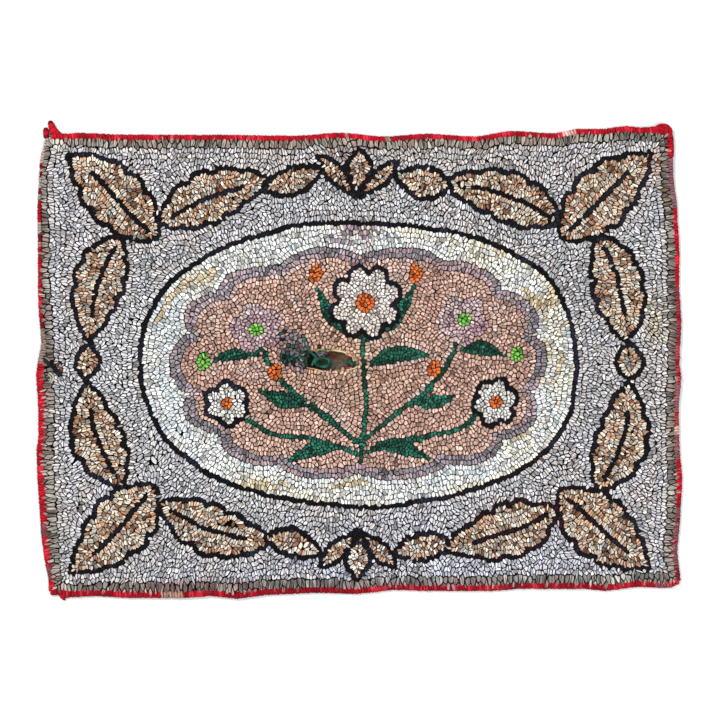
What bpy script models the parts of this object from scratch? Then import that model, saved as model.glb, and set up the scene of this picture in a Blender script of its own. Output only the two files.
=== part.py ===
"""A hooked rug lying flat: burlap foundation, hooked pile and a red whipped edging.

Metres, +Z up. The rug lies on z = 0 with its pile upwards, its long side along X and its
top edge, as it is looked at, towards +Y. The origin is below the middle of its outline.

The pile stands on the foundation, and both are worked out from one plan of the cloth, with
the same hole torn through them. The edging is whipped over the hem in four runs, one to a
side. Each run closes the corner where it ends, and the next run starts beside it.
"""

import math
from collections import Counter, namedtuple

import bmesh
import bpy
from mathutils import Matrix, Vector
from mathutils.geometry import delaunay_2d_cdt

# Driving sizes
FOUNDATION_THICK = 0.0015
PILE_HIGH = 0.0062
EDGING_HIGH = 0.0080
EDGING_USUAL_WIDE = 0.0075
GAP = 0.0004
SHOULDER_DROP = 0.0016
SHOULDER_WIDE = 0.007

# Fineness of the faceting
STATION_STEP = 0.024
PLAN_STEP = 0.046
CREASE_STEP = 0.022
CORNER_CLEAR = 0.008

# The outer corners of the edging. The old rug has pulled a little out of square.
TOP_LEFT = Vector((-0.4778, 0.3390))
TOP_RIGHT = Vector((0.4702, 0.3510))
BOTTOM_RIGHT = Vector((0.4838, -0.3420))
BOTTOM_LEFT = Vector((-0.4660, -0.3532))

# The corners of the body inside the edging, in the order of the runs that end there
BODY_TOP_RIGHT = ((0.4629, 0.3390),)
BODY_BOTTOM_RIGHT = ((0.4767, -0.3285), (0.4733, -0.3318))
BODY_BOTTOM_LEFT = ((-0.4602, -0.3460),)
BODY_TOP_LEFT = ((-0.4671, 0.3297), (-0.4628, 0.3309))

# One row for each bulge or dip of a side: how far along the side from the corner where its
# run starts, how far the outer edge stands out from the straight line between the corners,
# and how wide the edging is there.
Bulge = namedtuple("Bulge", "along out wide")

TOP_EDGE = (
    Bulge(0.032, 0.0000, 0.0072),
    Bulge(0.060, 0.0020, 0.0085),
    Bulge(0.128, -0.0015, 0.0075),
    Bulge(0.250, -0.0032, 0.0070),
    Bulge(0.383, -0.0062, 0.0070),
    Bulge(0.450, -0.0027, 0.0070),
    Bulge(0.518, -0.0092, 0.0075),
    Bulge(0.578, -0.0058, 0.0070),
    Bulge(0.653, -0.0110, 0.0065),
    Bulge(0.706, -0.0032, 0.0075),
    Bulge(0.773, -0.0078, 0.0070),
    Bulge(0.806, -0.0013, 0.0075),
    Bulge(0.848, -0.0018, 0.0075),
    Bulge(0.880, 0.0022, 0.0080),
    Bulge(0.900, -0.0008, 0.0080),
    Bulge(0.920, 0.0002, 0.0085),
    Bulge(0.934, 0.0040, 0.0135),
    Bulge(0.942, 0.0006, 0.0112),
    Bulge(0.949, -0.0086, 0.0040),
)
RIGHT_EDGE = (
    Bulge(0.0134, 0.0004, 0.0075),
    Bulge(0.075, 0.0007, 0.0070),
    Bulge(0.125, 0.0058, 0.0060),
    Bulge(0.186, 0.0077, 0.0060),
    Bulge(0.243, 0.0064, 0.0060),
    Bulge(0.291, 0.0085, 0.0062),
    Bulge(0.357, 0.0043, 0.0060),
    Bulge(0.377, 0.0068, 0.0065),
    Bulge(0.423, 0.0016, 0.0060),
    Bulge(0.480, 0.0022, 0.0060),
    Bulge(0.531, 0.0054, 0.0068),
    Bulge(0.591, 0.0010, 0.0075),
    Bulge(0.639, -0.0042, 0.0080),
    Bulge(0.682, 0.0000, 0.0062),
)
BOTTOM_EDGE = (
    Bulge(0.001, -0.0076, 0.0020),
    Bulge(0.009, -0.0030, 0.0062),
    Bulge(0.0155, -0.0002, 0.0080),
    Bulge(0.068, -0.0022, 0.0080),
    Bulge(0.113, 0.0032, 0.0085),
    Bulge(0.143, -0.0002, 0.0078),
    Bulge(0.248, -0.0015, 0.0075),
    Bulge(0.278, 0.0012, 0.0078),
    Bulge(0.383, 0.0000, 0.0078),
    Bulge(0.428, -0.0021, 0.0072),
    Bulge(0.488, 0.0031, 0.0080),
    Bulge(0.548, 0.0010, 0.0078),
    Bulge(0.623, 0.0032, 0.0078),
    Bulge(0.666, 0.0085, 0.0085),
    Bulge(0.706, 0.0036, 0.0078),
    Bulge(0.743, 0.0061, 0.0082),
    Bulge(0.833, 0.0051, 0.0085),
    Bulge(0.878, 0.0018, 0.0082),
    Bulge(0.920, 0.0030, 0.0088),
    Bulge(0.925, 0.0080, 0.0134),
    Bulge(0.934, -0.0004, 0.0058),
    Bulge(0.9495, -0.0008, 0.0055),
)
LEFT_EDGE = (
    Bulge(0.0072, -0.0004, 0.0050),
    Bulge(0.029, 0.0007, 0.0050),
    Bulge(0.053, 0.0051, 0.0060),
    Bulge(0.090, 0.0095, 0.0068),
    Bulge(0.137, 0.0117, 0.0068),
    Bulge(0.173, 0.0139, 0.0070),
    Bulge(0.219, 0.0146, 0.0070),
    Bulge(0.236, 0.0114, 0.0068),
    Bulge(0.281, 0.0107, 0.0066),
    Bulge(0.334, 0.0131, 0.0084),
    Bulge(0.377, 0.0045, 0.0040),
    Bulge(0.437, 0.0081, 0.0036),
    Bulge(0.581, 0.0072, 0.0038),
    Bulge(0.629, 0.0033, 0.0040),
    Bulge(0.653, 0.0010, 0.0042),
    Bulge(0.676, -0.0034, 0.0036),
)

# The loose ends of the edging that stand out past the top left corner: the place of the
# middle and the width, in the order of the run.
Stub = namedtuple("Stub", "x y wide")

TOP_RUN_HORN = (
    Stub(-0.4637, 0.3600, 0.0040),
    Stub(-0.4625, 0.3552, 0.0090),
    Stub(-0.4604, 0.3478, 0.0092),
    Stub(-0.4574, 0.3408, 0.0092),
    Stub(-0.4520, 0.3368, 0.0082),
)
LEFT_RUN_KNOB = (
    Stub(-0.4745, 0.3275, 0.0050),
    Stub(-0.4722, 0.3330, 0.0082),
    Stub(-0.4708, 0.3385, 0.0090),
    Stub(-0.4705, 0.3440, 0.0082),
    Stub(-0.4703, 0.3478, 0.0040),
)

# The edging's section, from its inner foot over the top to its outer foot, as shares of the
# width and of the height
EDGING_SECTION = (
    (0.10, 0.00),
    (0.00, 0.40),
    (0.14, 0.84),
    (0.45, 1.00),
    (0.80, 0.86),
    (1.00, 0.42),
    (0.88, 0.00),
)
THIN_EDGING_LOW = 0.55

# The hole torn through the cloth: its middle, and the corners of its ragged lip from there
HOLE_MIDDLE = Vector((-0.0400, 0.0000))
HOLE_LIP = (
    (-0.0370, -0.0112),
    (-0.0160, -0.0175),
    (0.0100, -0.0135),
    (0.0310, -0.0115),
    (0.0390, -0.0055),
    (0.0345, 0.0030),
    (0.0205, 0.0105),
    (0.0030, 0.0132),
    (-0.0130, 0.0130),
    (-0.0330, 0.0150),
    (-0.0375, 0.0010),
)

# One row for each place where the cloth stands off the floor, or where the pile is fuller
# or flatter: its middle, its reach along and across, its turn in degrees and its rise.
Swell = namedtuple("Swell", "x y along across turn rise")

LIFTS = (
    Swell(-0.455, 0.320, 0.150, 0.100, 135.0, 0.0035),
    Swell(-0.490, -0.005, 0.120, 0.070, 90.0, 0.0022),
    Swell(0.468, 0.335, 0.140, 0.110, 45.0, 0.0026),
    Swell(-0.230, -0.360, 0.160, 0.075, 0.0, 0.0024),
    Swell(0.480, -0.030, 0.150, 0.060, 90.0, 0.0018),
    Swell(-0.045, 0.004, 0.130, 0.090, 10.0, 0.0016),
)
FULLNESS = (
    Swell(-0.300, 0.140, 0.260, 0.170, 30.0, 0.0007),
    Swell(0.260, 0.170, 0.240, 0.160, -20.0, 0.0006),
    Swell(-0.300, -0.180, 0.240, 0.160, -15.0, 0.0008),
    Swell(0.300, -0.170, 0.260, 0.170, 20.0, 0.0007),
    Swell(-0.040, 0.230, 0.150, 0.120, 80.0, -0.0009),
    Swell(-0.040, 0.000, 0.120, 0.080, 0.0, -0.0011),
    Swell(0.060, -0.200, 0.200, 0.130, 0.0, 0.0006),
)

# One row for each old fold that runs down the cloth: its place, its two ends, its reach to
# either side and its depth in the pile.
Crease = namedtuple("Crease", "x top bottom across depth")

CREASES = (
    Crease(-0.0270, 0.325, 0.165, 0.012, 0.0016),
    Crease(0.1580, 0.325, 0.245, 0.012, 0.0012),
    Crease(-0.0150, -0.215, -0.325, 0.012, 0.0010),
)

# The plan of the cloth: its points, its triangles seen from above, and its rim's points
Plan = namedtuple("Plan", "points triangles rim")


def clear_scene():
    for obj in list(bpy.data.objects):
        bpy.data.objects.remove(obj, do_unlink=True)


def eased(t):
    """0 to 1 with no corner at either end."""
    t = min(1.0, max(0.0, t))
    return t * t * (3.0 - 2.0 * t)


def swell_at(point, swell):
    """The height of one swell at a point: a round hill that runs out flat."""
    away = Vector((point[0] - swell.x, point[1] - swell.y))
    away.rotate(Matrix.Rotation(math.radians(-swell.turn), 2))
    return swell.rise * eased(1.0 - math.hypot(away.x / swell.along, away.y / swell.across))


def crease_at(point, crease):
    """The depth of one crease at a point, fading out towards its two ends."""
    middle = 0.5 * (crease.top + crease.bottom)
    half = 0.5 * (crease.top - crease.bottom)
    down = eased(2.0 * (1.0 - abs(point[1] - middle) / half))
    side = eased(1.0 - abs(point[0] - crease.x) / crease.across)
    return crease.depth * down * side


def lift(point):
    """How far the cloth's underside stands off the floor."""
    return sum(swell_at(point, swell) for swell in LIFTS)


def pile_thick(point):
    """The pile's height above the foundation."""
    fuller = sum(swell_at(point, swell) for swell in FULLNESS)
    return PILE_HIGH + fuller - sum(crease_at(point, crease) for crease in CREASES)


def edge_at(rows, along):
    """How far the outer edge stands out, and the edging's width, at one place on a side."""
    low, high = next(
        (pair for pair in zip(rows, rows[1:]) if along <= pair[1].along), rows[-2:]
    )
    t = eased((along - low.along) / (high.along - low.along))
    return low.out + (high.out - low.out) * t, low.wide + (high.wide - low.wide) * t


def stations(rows):
    """The places along a side: each row, and more between rows that lie far apart."""
    places = []
    for low, high in zip(rows, rows[1:]):
        span = high.along - low.along
        steps = math.ceil(span / STATION_STEP)
        places += [low.along + span * i / steps for i in range(steps)]
    return places + [rows[-1].along]


def outward_of(forward):
    """A side runs clockwise, so its outside is on its left."""
    return Vector((-forward.y, forward.x))


def side_pairs(start, end, rows):
    """The inner and outer points of the edging along one side, station by station."""
    forward = (end - start).normalized()
    outward = outward_of(forward)
    pairs = []
    for along in stations(rows):
        out, wide = edge_at(rows, along)
        foot = start + forward * along
        pairs.append((foot + outward * (out - wide), foot + outward * out))
    return pairs


def stub_pairs(rows):
    """The inner and outer points of a loose end, square to its middle line."""
    middles = [Vector((row.x, row.y)) for row in rows]
    pairs = []
    for i, row in enumerate(rows):
        before, after = middles[max(i - 1, 0)], middles[min(i + 1, len(rows) - 1)]
        half = outward_of((after - before).normalized()) * row.wide / 2
        pairs.append((middles[i] - half, middles[i] + half))
    return pairs


def body_side(start, end, rows, first_corner, last_corner):
    """The body's edge along one side: beside the edging, and clear of both corners."""
    forward = (end - start).normalized()
    outward = outward_of(forward)
    low = (Vector(first_corner[-1]) - start).dot(forward) + CORNER_CLEAR
    high = (Vector(last_corner[0]) - start).dot(forward) - CORNER_CLEAR
    points = []
    for along in stations(rows):
        if low < along < high:
            out, wide = edge_at(rows, along)
            points.append(start + forward * along + outward * (out - wide - GAP))
    return points + [Vector(corner) for corner in last_corner]


def body_outline():
    """The body's outline, clockwise from the top left corner."""
    return (
        body_side(TOP_LEFT, TOP_RIGHT, TOP_EDGE, BODY_TOP_LEFT, BODY_TOP_RIGHT)
        + body_side(TOP_RIGHT, BOTTOM_RIGHT, RIGHT_EDGE, BODY_TOP_RIGHT, BODY_BOTTOM_RIGHT)
        + body_side(
            BOTTOM_RIGHT, BOTTOM_LEFT, BOTTOM_EDGE, BODY_BOTTOM_RIGHT, BODY_BOTTOM_LEFT
        )
        + body_side(BOTTOM_LEFT, TOP_LEFT, LEFT_EDGE, BODY_BOTTOM_LEFT, BODY_TOP_LEFT)
    )


def hole_outline():
    return [HOLE_MIDDLE + Vector(corner) for corner in HOLE_LIP]


def inside(point, loop):
    """Whether a point lies inside a closed loop."""
    crossings = 0
    for a, b in zip(loop, loop[1:] + loop[:1]):
        if (a.y > point.y) != (b.y > point.y):
            crossings += point.x < a.x + (b.x - a.x) * (point.y - a.y) / (b.y - a.y)
    return crossings % 2 == 1


def shoulder_line(loop, side):
    """The loop moved a shoulder's width into the cloth: to its right or to its left."""
    moved = []
    for before, here, after in zip(loop[-1:] + loop[:-1], loop, loop[1:] + loop[:1]):
        moved.append(here + side * SHOULDER_WIDE * outward_of((after - before).normalized()))
    return moved


def crease_points():
    """Points along each crease and along both of its shores."""
    points = []
    for crease in CREASES:
        steps = round((crease.top - crease.bottom) / CREASE_STEP)
        for i in range(steps + 1):
            y = crease.top + (crease.bottom - crease.top) * i / steps
            points += [Vector((crease.x + k * crease.across, y)) for k in (-1, 0, 1)]
    return points


def field_points(outline, hole, taken):
    """An even staggered field of points over the rest of the cloth."""
    points = []
    row_step = PLAN_STEP * math.sqrt(3) / 2
    low_y, high_y = min(p.y for p in outline), max(p.y for p in outline)
    low_x, high_x = min(p.x for p in outline), max(p.x for p in outline)
    for row in range(int((high_y - low_y) / row_step) + 1):
        for column in range(int((high_x - low_x) / PLAN_STEP) + 2):
            x = low_x + (column + 0.5 * (row % 2)) * PLAN_STEP
            point = Vector((x, low_y + (row + 0.5) * row_step))
            on_cloth = inside(point, outline) and not inside(point, hole)
            if on_cloth and all((point - p).length > 0.55 * PLAN_STEP for p in taken):
                points.append(point)
    return points


def cloth_plan():
    """The cloth seen from above, in triangles, with the hole left out."""
    outline, hole = body_outline(), hole_outline()
    rim = outline + hole
    shoulder = shoulder_line(outline, -1) + shoulder_line(hole, -1)
    fixed = rim + shoulder + crease_points()
    points = fixed + field_points(outline, hole, fixed)
    loops = [(i, (i + 1) % len(outline)) for i in range(len(outline))]
    loops += [
        (len(outline) + i, len(outline) + (i + 1) % len(hole)) for i in range(len(hole))
    ]
    flat, _, faces, _, _, _ = delaunay_2d_cdt(points, loops, [], 1, 1e-6)
    if len(flat) != len(points):
        raise RuntimeError("two points of the cloth's plan fall together")
    triangles = []
    for a, b, c in faces:
        middle = (flat[a] + flat[b] + flat[c]) / 3
        if inside(middle, hole):
            continue
        turns_left = (flat[b] - flat[a]).cross(flat[c] - flat[a]) > 0
        triangles.append((a, b, c) if turns_left else (a, c, b))
    return Plan(flat, triangles, set(range(len(rim))))


def new_object(name, points, faces, material):
    mesh = bpy.data.meshes.new(name)
    mesh.from_pydata(points, [], faces)
    mesh.materials.append(material)
    mesh.validate()
    work = bmesh.new()
    work.from_mesh(mesh)
    bmesh.ops.recalc_face_normals(work, faces=work.faces)
    work.to_mesh(mesh)
    work.free()
    obj = bpy.data.objects.new(name, mesh)
    bpy.context.scene.collection.objects.link(obj)
    return obj


def layer_solid(name, plan, under, over, material):
    """A closed layer on the plan, between two heights worked out point by point."""
    count = len(plan.points)
    low = [(p.x, p.y, under(i, p)) for i, p in enumerate(plan.points)]
    high = [(p.x, p.y, over(i, p)) for i, p in enumerate(plan.points)]
    faces = [(c, b, a) for a, b, c in plan.triangles]
    faces += [tuple(count + i for i in triangle) for triangle in plan.triangles]
    ways = [(t[k], t[(k + 1) % 3]) for t in plan.triangles for k in range(3)]
    used = Counter(frozenset(way) for way in ways)
    for a, b in ways:
        if used[frozenset((a, b))] == 1:
            faces += [(a, b, count + b), (a, count + b, count + a)]
    return new_object(name, low + high, faces, material)


def make_foundation(plan, material):
    def under(_, point):
        return lift(point)

    def over(_, point):
        return lift(point) + FOUNDATION_THICK

    return layer_solid("foundation", plan, under, over, material)


def make_pile(plan, material):
    def under(_, point):
        return lift(point) + FOUNDATION_THICK + GAP

    def over(i, point):
        drop = SHOULDER_DROP if i in plan.rim else 0.0
        return under(i, point) + pile_thick(point) - drop

    return layer_solid("hooked_pile", plan, under, over, material)


def make_edging(name, pairs, material):
    """One run of the edging: its section carried from station to station, ends closed."""
    points, faces, sides = [], [], len(EDGING_SECTION)
    for inner, outer in pairs:
        floor = lift((inner + outer) / 2)
        fullness = min(1.0, (outer - inner).length / EDGING_USUAL_WIDE)
        high = EDGING_HIGH * (THIN_EDGING_LOW + (1.0 - THIN_EDGING_LOW) * fullness)
        for across, up in EDGING_SECTION:
            foot = inner.lerp(outer, across)
            points.append((foot.x, foot.y, floor + high * up))
    for station in range(len(pairs) - 1):
        here, there = station * sides, (station + 1) * sides
        for k in range(sides):
            after = (k + 1) % sides
            faces.append((here + k, here + after, there + after))
            faces.append((here + k, there + after, there + k))
    last = (len(pairs) - 1) * sides
    for k in range(1, sides - 1):
        faces.append((0, k + 1, k))
        faces.append((last, last + k, last + k + 1))
    return new_object(name, points, faces, material)


def yarn_material(name, colour, roughness):
    material = bpy.data.materials.new(name)
    material.use_nodes = True
    shader = material.node_tree.nodes["Principled BSDF"]
    shader.inputs["Base Color"].default_value = (*colour, 1.0)
    shader.inputs["Roughness"].default_value = roughness
    shader.inputs["Metallic"].default_value = 0.0
    return material


def centre_over_origin(objects):
    """Moves the whole rug so that the middle of its outline is over the origin."""
    corners = [obj.matrix_world @ Vector(c) for obj in objects for c in obj.bound_box]
    middle_x = 0.5 * (min(c.x for c in corners) + max(c.x for c in corners))
    middle_y = 0.5 * (min(c.y for c in corners) + max(c.y for c in corners))
    for obj in objects:
        obj.location.x -= middle_x
        obj.location.y -= middle_y


def main():
    clear_scene()
    red = (0.62, 0.02, 0.04)
    plan = cloth_plan()
    objects = [
        make_foundation(plan, yarn_material("burlap", (0.40, 0.28, 0.15), 0.95)),
        make_pile(plan, yarn_material("grey_wool", (0.42, 0.41, 0.43), 0.92)),
        make_edging(
            "edging_top",
            stub_pairs(TOP_RUN_HORN) + side_pairs(TOP_LEFT, TOP_RIGHT, TOP_EDGE),
            yarn_material("red_yarn_top", red, 0.85),
        ),
        make_edging(
            "edging_right",
            side_pairs(TOP_RIGHT, BOTTOM_RIGHT, RIGHT_EDGE),
            yarn_material("red_yarn_right", red, 0.85),
        ),
        make_edging(
            "edging_bottom",
            side_pairs(BOTTOM_RIGHT, BOTTOM_LEFT, BOTTOM_EDGE),
            yarn_material("red_yarn_bottom", red, 0.85),
        ),
        make_edging(
            "edging_left",
            side_pairs(BOTTOM_LEFT, TOP_LEFT, LEFT_EDGE) + stub_pairs(LEFT_RUN_KNOB),
            yarn_material("red_yarn_left", red, 0.85),
        ),
    ]
    bpy.context.view_layer.update()
    centre_over_origin(objects)


main()
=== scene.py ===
"""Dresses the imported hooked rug: burlap, hooked loops, whipped edging and the torn middle.

The pile is made loop by loop. The design is painted on a plan of small cells, rows of loops
follow the edges of each area at a hand's spacing, and every loop is a small folded strip of
cloth with its own colour, lean and wear. Heights and outlines are read from the frame.
Lengths are in metres.
"""

import math
from collections import namedtuple
from functools import lru_cache

import bmesh
import bpy
import numpy as np
from bpy.props import FloatProperty, FloatVectorProperty, IntProperty, PointerProperty
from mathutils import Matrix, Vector
from mathutils.bvhtree import BVHTree
from mathutils.kdtree import KDTree


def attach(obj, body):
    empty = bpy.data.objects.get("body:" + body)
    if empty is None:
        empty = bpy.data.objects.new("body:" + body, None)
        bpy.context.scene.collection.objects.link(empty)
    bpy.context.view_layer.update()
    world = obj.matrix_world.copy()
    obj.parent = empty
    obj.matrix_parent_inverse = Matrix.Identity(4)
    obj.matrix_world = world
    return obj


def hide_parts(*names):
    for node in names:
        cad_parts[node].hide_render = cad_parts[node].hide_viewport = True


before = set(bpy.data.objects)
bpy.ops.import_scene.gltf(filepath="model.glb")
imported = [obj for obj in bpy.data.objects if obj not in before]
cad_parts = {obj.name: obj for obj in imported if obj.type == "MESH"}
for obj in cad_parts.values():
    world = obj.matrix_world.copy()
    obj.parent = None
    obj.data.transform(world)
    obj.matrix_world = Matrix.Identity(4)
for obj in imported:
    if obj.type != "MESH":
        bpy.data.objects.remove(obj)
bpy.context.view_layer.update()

bl_info = {
    "name": "Hooked rug",
    "version": (1, 0, 0),
    "blender": (4, 5, 0),
    "location": "3D View > Sidebar > Rug",
    "description": "Hooks, whips and frays a hooked rug around its packed frame",
    "category": "Object",
}

BODY = "root"
DOWN = Vector((0.0, 0.0, -1.0))
HIGH_ABOVE = 0.2

# What each piece adds to the seed for its own draws
PILE_SEED = 100
EDGING_SEED = 300
TEAR_SEED = 500
STRAY_SEED = 700

# Heights that stand where the frame has no face to read them from
BURLAP_TOP = 0.0015
PILE_TOP = 0.0070
# How far up a face has to look to be part of the top, and how near two points are one
FACES_UP = 0.4
SAME_POINT = 1e-6


# ---------------------------------------------------------------- settings


def length_property(label, words, value):
    return FloatProperty(name=label, description=words, default=value, unit="LENGTH")


def colour_property(label, words, value):
    return FloatVectorProperty(
        name=label, description=words, default=value, subtype="COLOR_GAMMA", size=3, min=0.0, max=1.0
    )


class RugSizes(bpy.types.PropertyGroup):
    """Sizes of the hooking and the edging."""

    plan_step: length_property("Plan step", "Size of the cells on which the design is painted", 0.00125)
    border_long: length_property("Border loop length", "How far the border loops reach in", 0.0125)
    outline_wide: length_property("Outline width", "Width of the single rows round the motifs", 0.0060)
    wander: length_property("Row wander", "How far a row strays from an even path", 0.0016)
    stitch_pitch: length_property("Whip stitch pitch", "Spacing of the stitches along the edge", 0.0042)
    seed: IntProperty(name="Seed", description="Start of every random draw", default=7)


class RugColours(bpy.types.PropertyGroup):
    """Colours of the main yarns and strips, as they look on the rug."""

    ground: colour_property("Ground", "Lavender grey of the ground", (0.840, 0.835, 0.838))
    border: colour_property("Border", "Olive grey of the border row", (0.668, 0.640, 0.602))
    edging: colour_property("Edging", "Red yarn of the whipped edge", (0.78, 0.075, 0.155))
    outline: colour_property("Outline", "Blue black of the outlines", (0.07, 0.07, 0.10))
    field: colour_property("Field", "Peach of the middle field", (0.855, 0.705, 0.640))
    leaf: colour_property("Leaf", "Dark green of stems and leaves", (0.15, 0.38, 0.31))
    blossom: colour_property("Blossom", "White of the large flowers", (0.94, 0.93, 0.91))
    burlap: colour_property("Burlap", "Tan of the foundation cloth", (0.66, 0.54, 0.38))


class RugStage(bpy.types.PropertyGroup):
    """Floor, light and camera."""

    view_wide: length_property("View width", "Width of floor that the camera takes in", 1.0835)
    key_power: FloatProperty(name="Key light", description="Soft light from the upper left", default=104.0)
    fill_power: FloatProperty(name="Fill light", description="Overhead fill", default=36.0)
    floor: colour_property("Floor", "Pale floor under the rug", (0.96, 0.96, 0.96))


# ---------------------------------------------------------------- small helpers


def eased(t):
    t = np.clip(t, 0.0, 1.0)
    return t * t * (3.0 - 2.0 * t)


def linear(colour):
    """A colour as it looks, as the linear values that shaders and attributes take."""
    c = np.asarray(colour, float)
    return np.where(c <= 0.04045, c / 12.92, ((np.maximum(c, 0) + 0.055) / 1.055) ** 2.4)


def patchy(x, y, size, seed):
    """Smooth noise from -1 to 1 over the plan, with lumps of about the given size."""
    table = np.random.default_rng(seed).uniform(-1.0, 1.0, (64, 64))
    gx, gy = np.asarray(x) / size + 31.7, np.asarray(y) / size + 17.3
    ix, iy = np.floor(gx).astype(int), np.floor(gy).astype(int)
    tx, ty = eased(gx - ix), eased(gy - iy)
    a, b = table[iy % 64, ix % 64], table[iy % 64, (ix + 1) % 64]
    c, d = table[(iy + 1) % 64, ix % 64], table[(iy + 1) % 64, (ix + 1) % 64]
    return (a * (1 - tx) + b * tx) * (1 - ty) + (c * (1 - tx) + d * tx) * ty


def in_loop(points, loop):
    """Which of many points lie inside a closed loop."""
    points, loop = np.asarray(points, float), np.asarray(loop, float)
    found = np.zeros(len(points), bool)
    near = np.nonzero(((points >= loop.min(0)) & (points <= loop.max(0))).all(1))[0]
    px, py = points[near, 0], points[near, 1]
    odd = np.zeros(len(near), bool)
    for (ax, ay), (bx, by) in zip(loop, np.roll(loop, -1, axis=0)):
        if ay != by:
            spans = (ay > py) != (by > py)
            odd ^= spans & (px < ax + (bx - ax) * (py - ay) / (by - ay))
    found[near[odd]] = True
    return found


def even(points, step, closed):
    """A chain of points again, evenly spaced at about the step."""
    chain = np.asarray(points, float)
    if closed:
        chain = np.vstack([chain, chain[:1]])
    along = np.concatenate([[0.0], np.cumsum(np.linalg.norm(np.diff(chain, axis=0), axis=1))])
    count = max(2, int(round(along[-1] / step)) + (0 if closed else 1))
    places = np.linspace(0.0, along[-1], count, endpoint=not closed)
    return np.column_stack([np.interp(places, along, chain[:, k]) for k in range(chain.shape[1])])


def headings(chain, closed):
    """The direction in which a chain of points runs, at each of its points."""
    if closed:
        ahead = np.roll(chain, -1, axis=0) - np.roll(chain, 1, axis=0)
    else:
        ahead = np.gradient(chain, axis=0)
    return ahead / np.maximum(np.linalg.norm(ahead, axis=1), 1e-9)[:, None]


def smooth_chain(points, per_span=10):
    """A round curve through given points, each a row of numbers."""
    p = np.asarray(points, float)
    rows = []
    for i in range(len(p) - 1):
        a, b, c, d = (p[min(max(i + k, 0), len(p) - 1)] for k in (-1, 0, 1, 2))
        for t in np.arange(per_span) / per_span:
            bend = (2 * a - 5 * b + 4 * c - d) * t**2 + (3 * b - a - 3 * c + d) * t**3
            rows.append(0.5 * (2 * b + (c - a) * t + bend))
    return np.array([*rows, p[-1]])


def signed_area(loop):
    """The area in a closed loop, below 0 where it runs clockwise."""
    x, y = loop.T
    return float(np.dot(x, np.roll(y, -1)) - np.dot(y, np.roll(x, -1))) / 2


def tree_over(places):
    """A search tree over many places on the plan."""
    tree = KDTree(len(places))
    for i, (x, y) in enumerate(places.tolist()):
        tree.insert((x, y, 0.0), i)
    tree.balance()
    return tree


def linked(pairs):
    """Which numbers each number is paired with."""
    ways = {}
    for a, b in pairs:
        ways.setdefault(a, []).append(b)
        ways.setdefault(b, []).append(a)
    return ways


def followed(ways, here):
    """The numbers along one chain of pairs, which leave the ways as they are passed."""
    chain = []
    while here is not None:
        chain.append(here)
        here = next((k for k in ways.pop(here) if k in ways), None)
    return chain


# ---------------------------------------------------------------- reading the frame


@lru_cache
def tree_of(*nodes):
    """A search tree over the faces of some CAD nodes."""
    points, faces = [], []
    for node in nodes:
        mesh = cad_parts[node].data
        start = len(points)
        points += [v.co.copy() for v in mesh.vertices]
        faces += [[start + i for i in p.vertices] for p in mesh.polygons]
    return BVHTree.FromPolygons(points, faces)


def heights_on(nodes, x, y, otherwise):
    """The height of the topmost face of some nodes at each of many places."""
    tree = tree_of(*nodes)
    found = []
    for px, py in zip(x, y):
        hit = tree.ray_cast(Vector((px, py, HIGH_ABOVE)), DOWN)[0]
        found.append(hit.z if hit else otherwise)
    return np.array(found)


@lru_cache
def rim_loops(node):
    """The rims of a flat CAD node seen from above: its outline first, then any hole."""
    work = bmesh.new()
    work.from_mesh(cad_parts[node].data)
    bmesh.ops.remove_doubles(work, verts=work.verts, dist=SAME_POINT)
    work.normal_update()
    rims = [e for e in work.edges if sum(face.normal.z > FACES_UP for face in e.link_faces) == 1]
    ways = linked([v.index for v in edge.verts] for edge in rims)
    work.verts.ensure_lookup_table()
    place = {i: tuple(work.verts[i].co[:2]) for i in ways}
    work.free()
    loops = []
    while ways:
        loops.append(np.array([place[i] for i in followed(ways, next(iter(ways)))]))
    loops.sort(key=lambda c: -np.ptp(c[:, 0]))
    return loops


# ---------------------------------------------------------------- the design


Shape = namedtuple("Shape", "fill outlined loop")
Stem = namedtuple("Stem", "fill wide chain")

# How each area is hooked: the spacing of the loops in a row, the spacing of the rows, the
# colours of its strips as they look, how many loops in a row one strip makes, the size of its
# patches of colour, or 0 where the colours fall at random, and how far its loops turn astray.
Hooking = namedtuple("Hooking", "pitch row colours run patch swing")

# Colours of cloth as they look, used in several kinds of hooking
PALE = (0.94, 0.94, 0.93)
CREAM = (0.96, 0.90, 0.83)
TAN = (0.89, 0.78, 0.68)
RUST = (0.83, 0.65, 0.52)
BROWN = (0.66, 0.51, 0.41)
STONE = (0.82, 0.79, 0.74)
STRAW = (0.88, 0.81, 0.68)


def shades(colour, *factors):
    """A colour in several strengths."""
    return [tuple(min(1.0, c * f) for c in colour) for f in factors]


def tinted(colour, *shifts):
    """A colour with each of some shifts of red, green and blue."""
    return [tuple(min(1.0, max(0.0, c + s)) for c, s in zip(colour, shift)) for shift in shifts]


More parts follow.
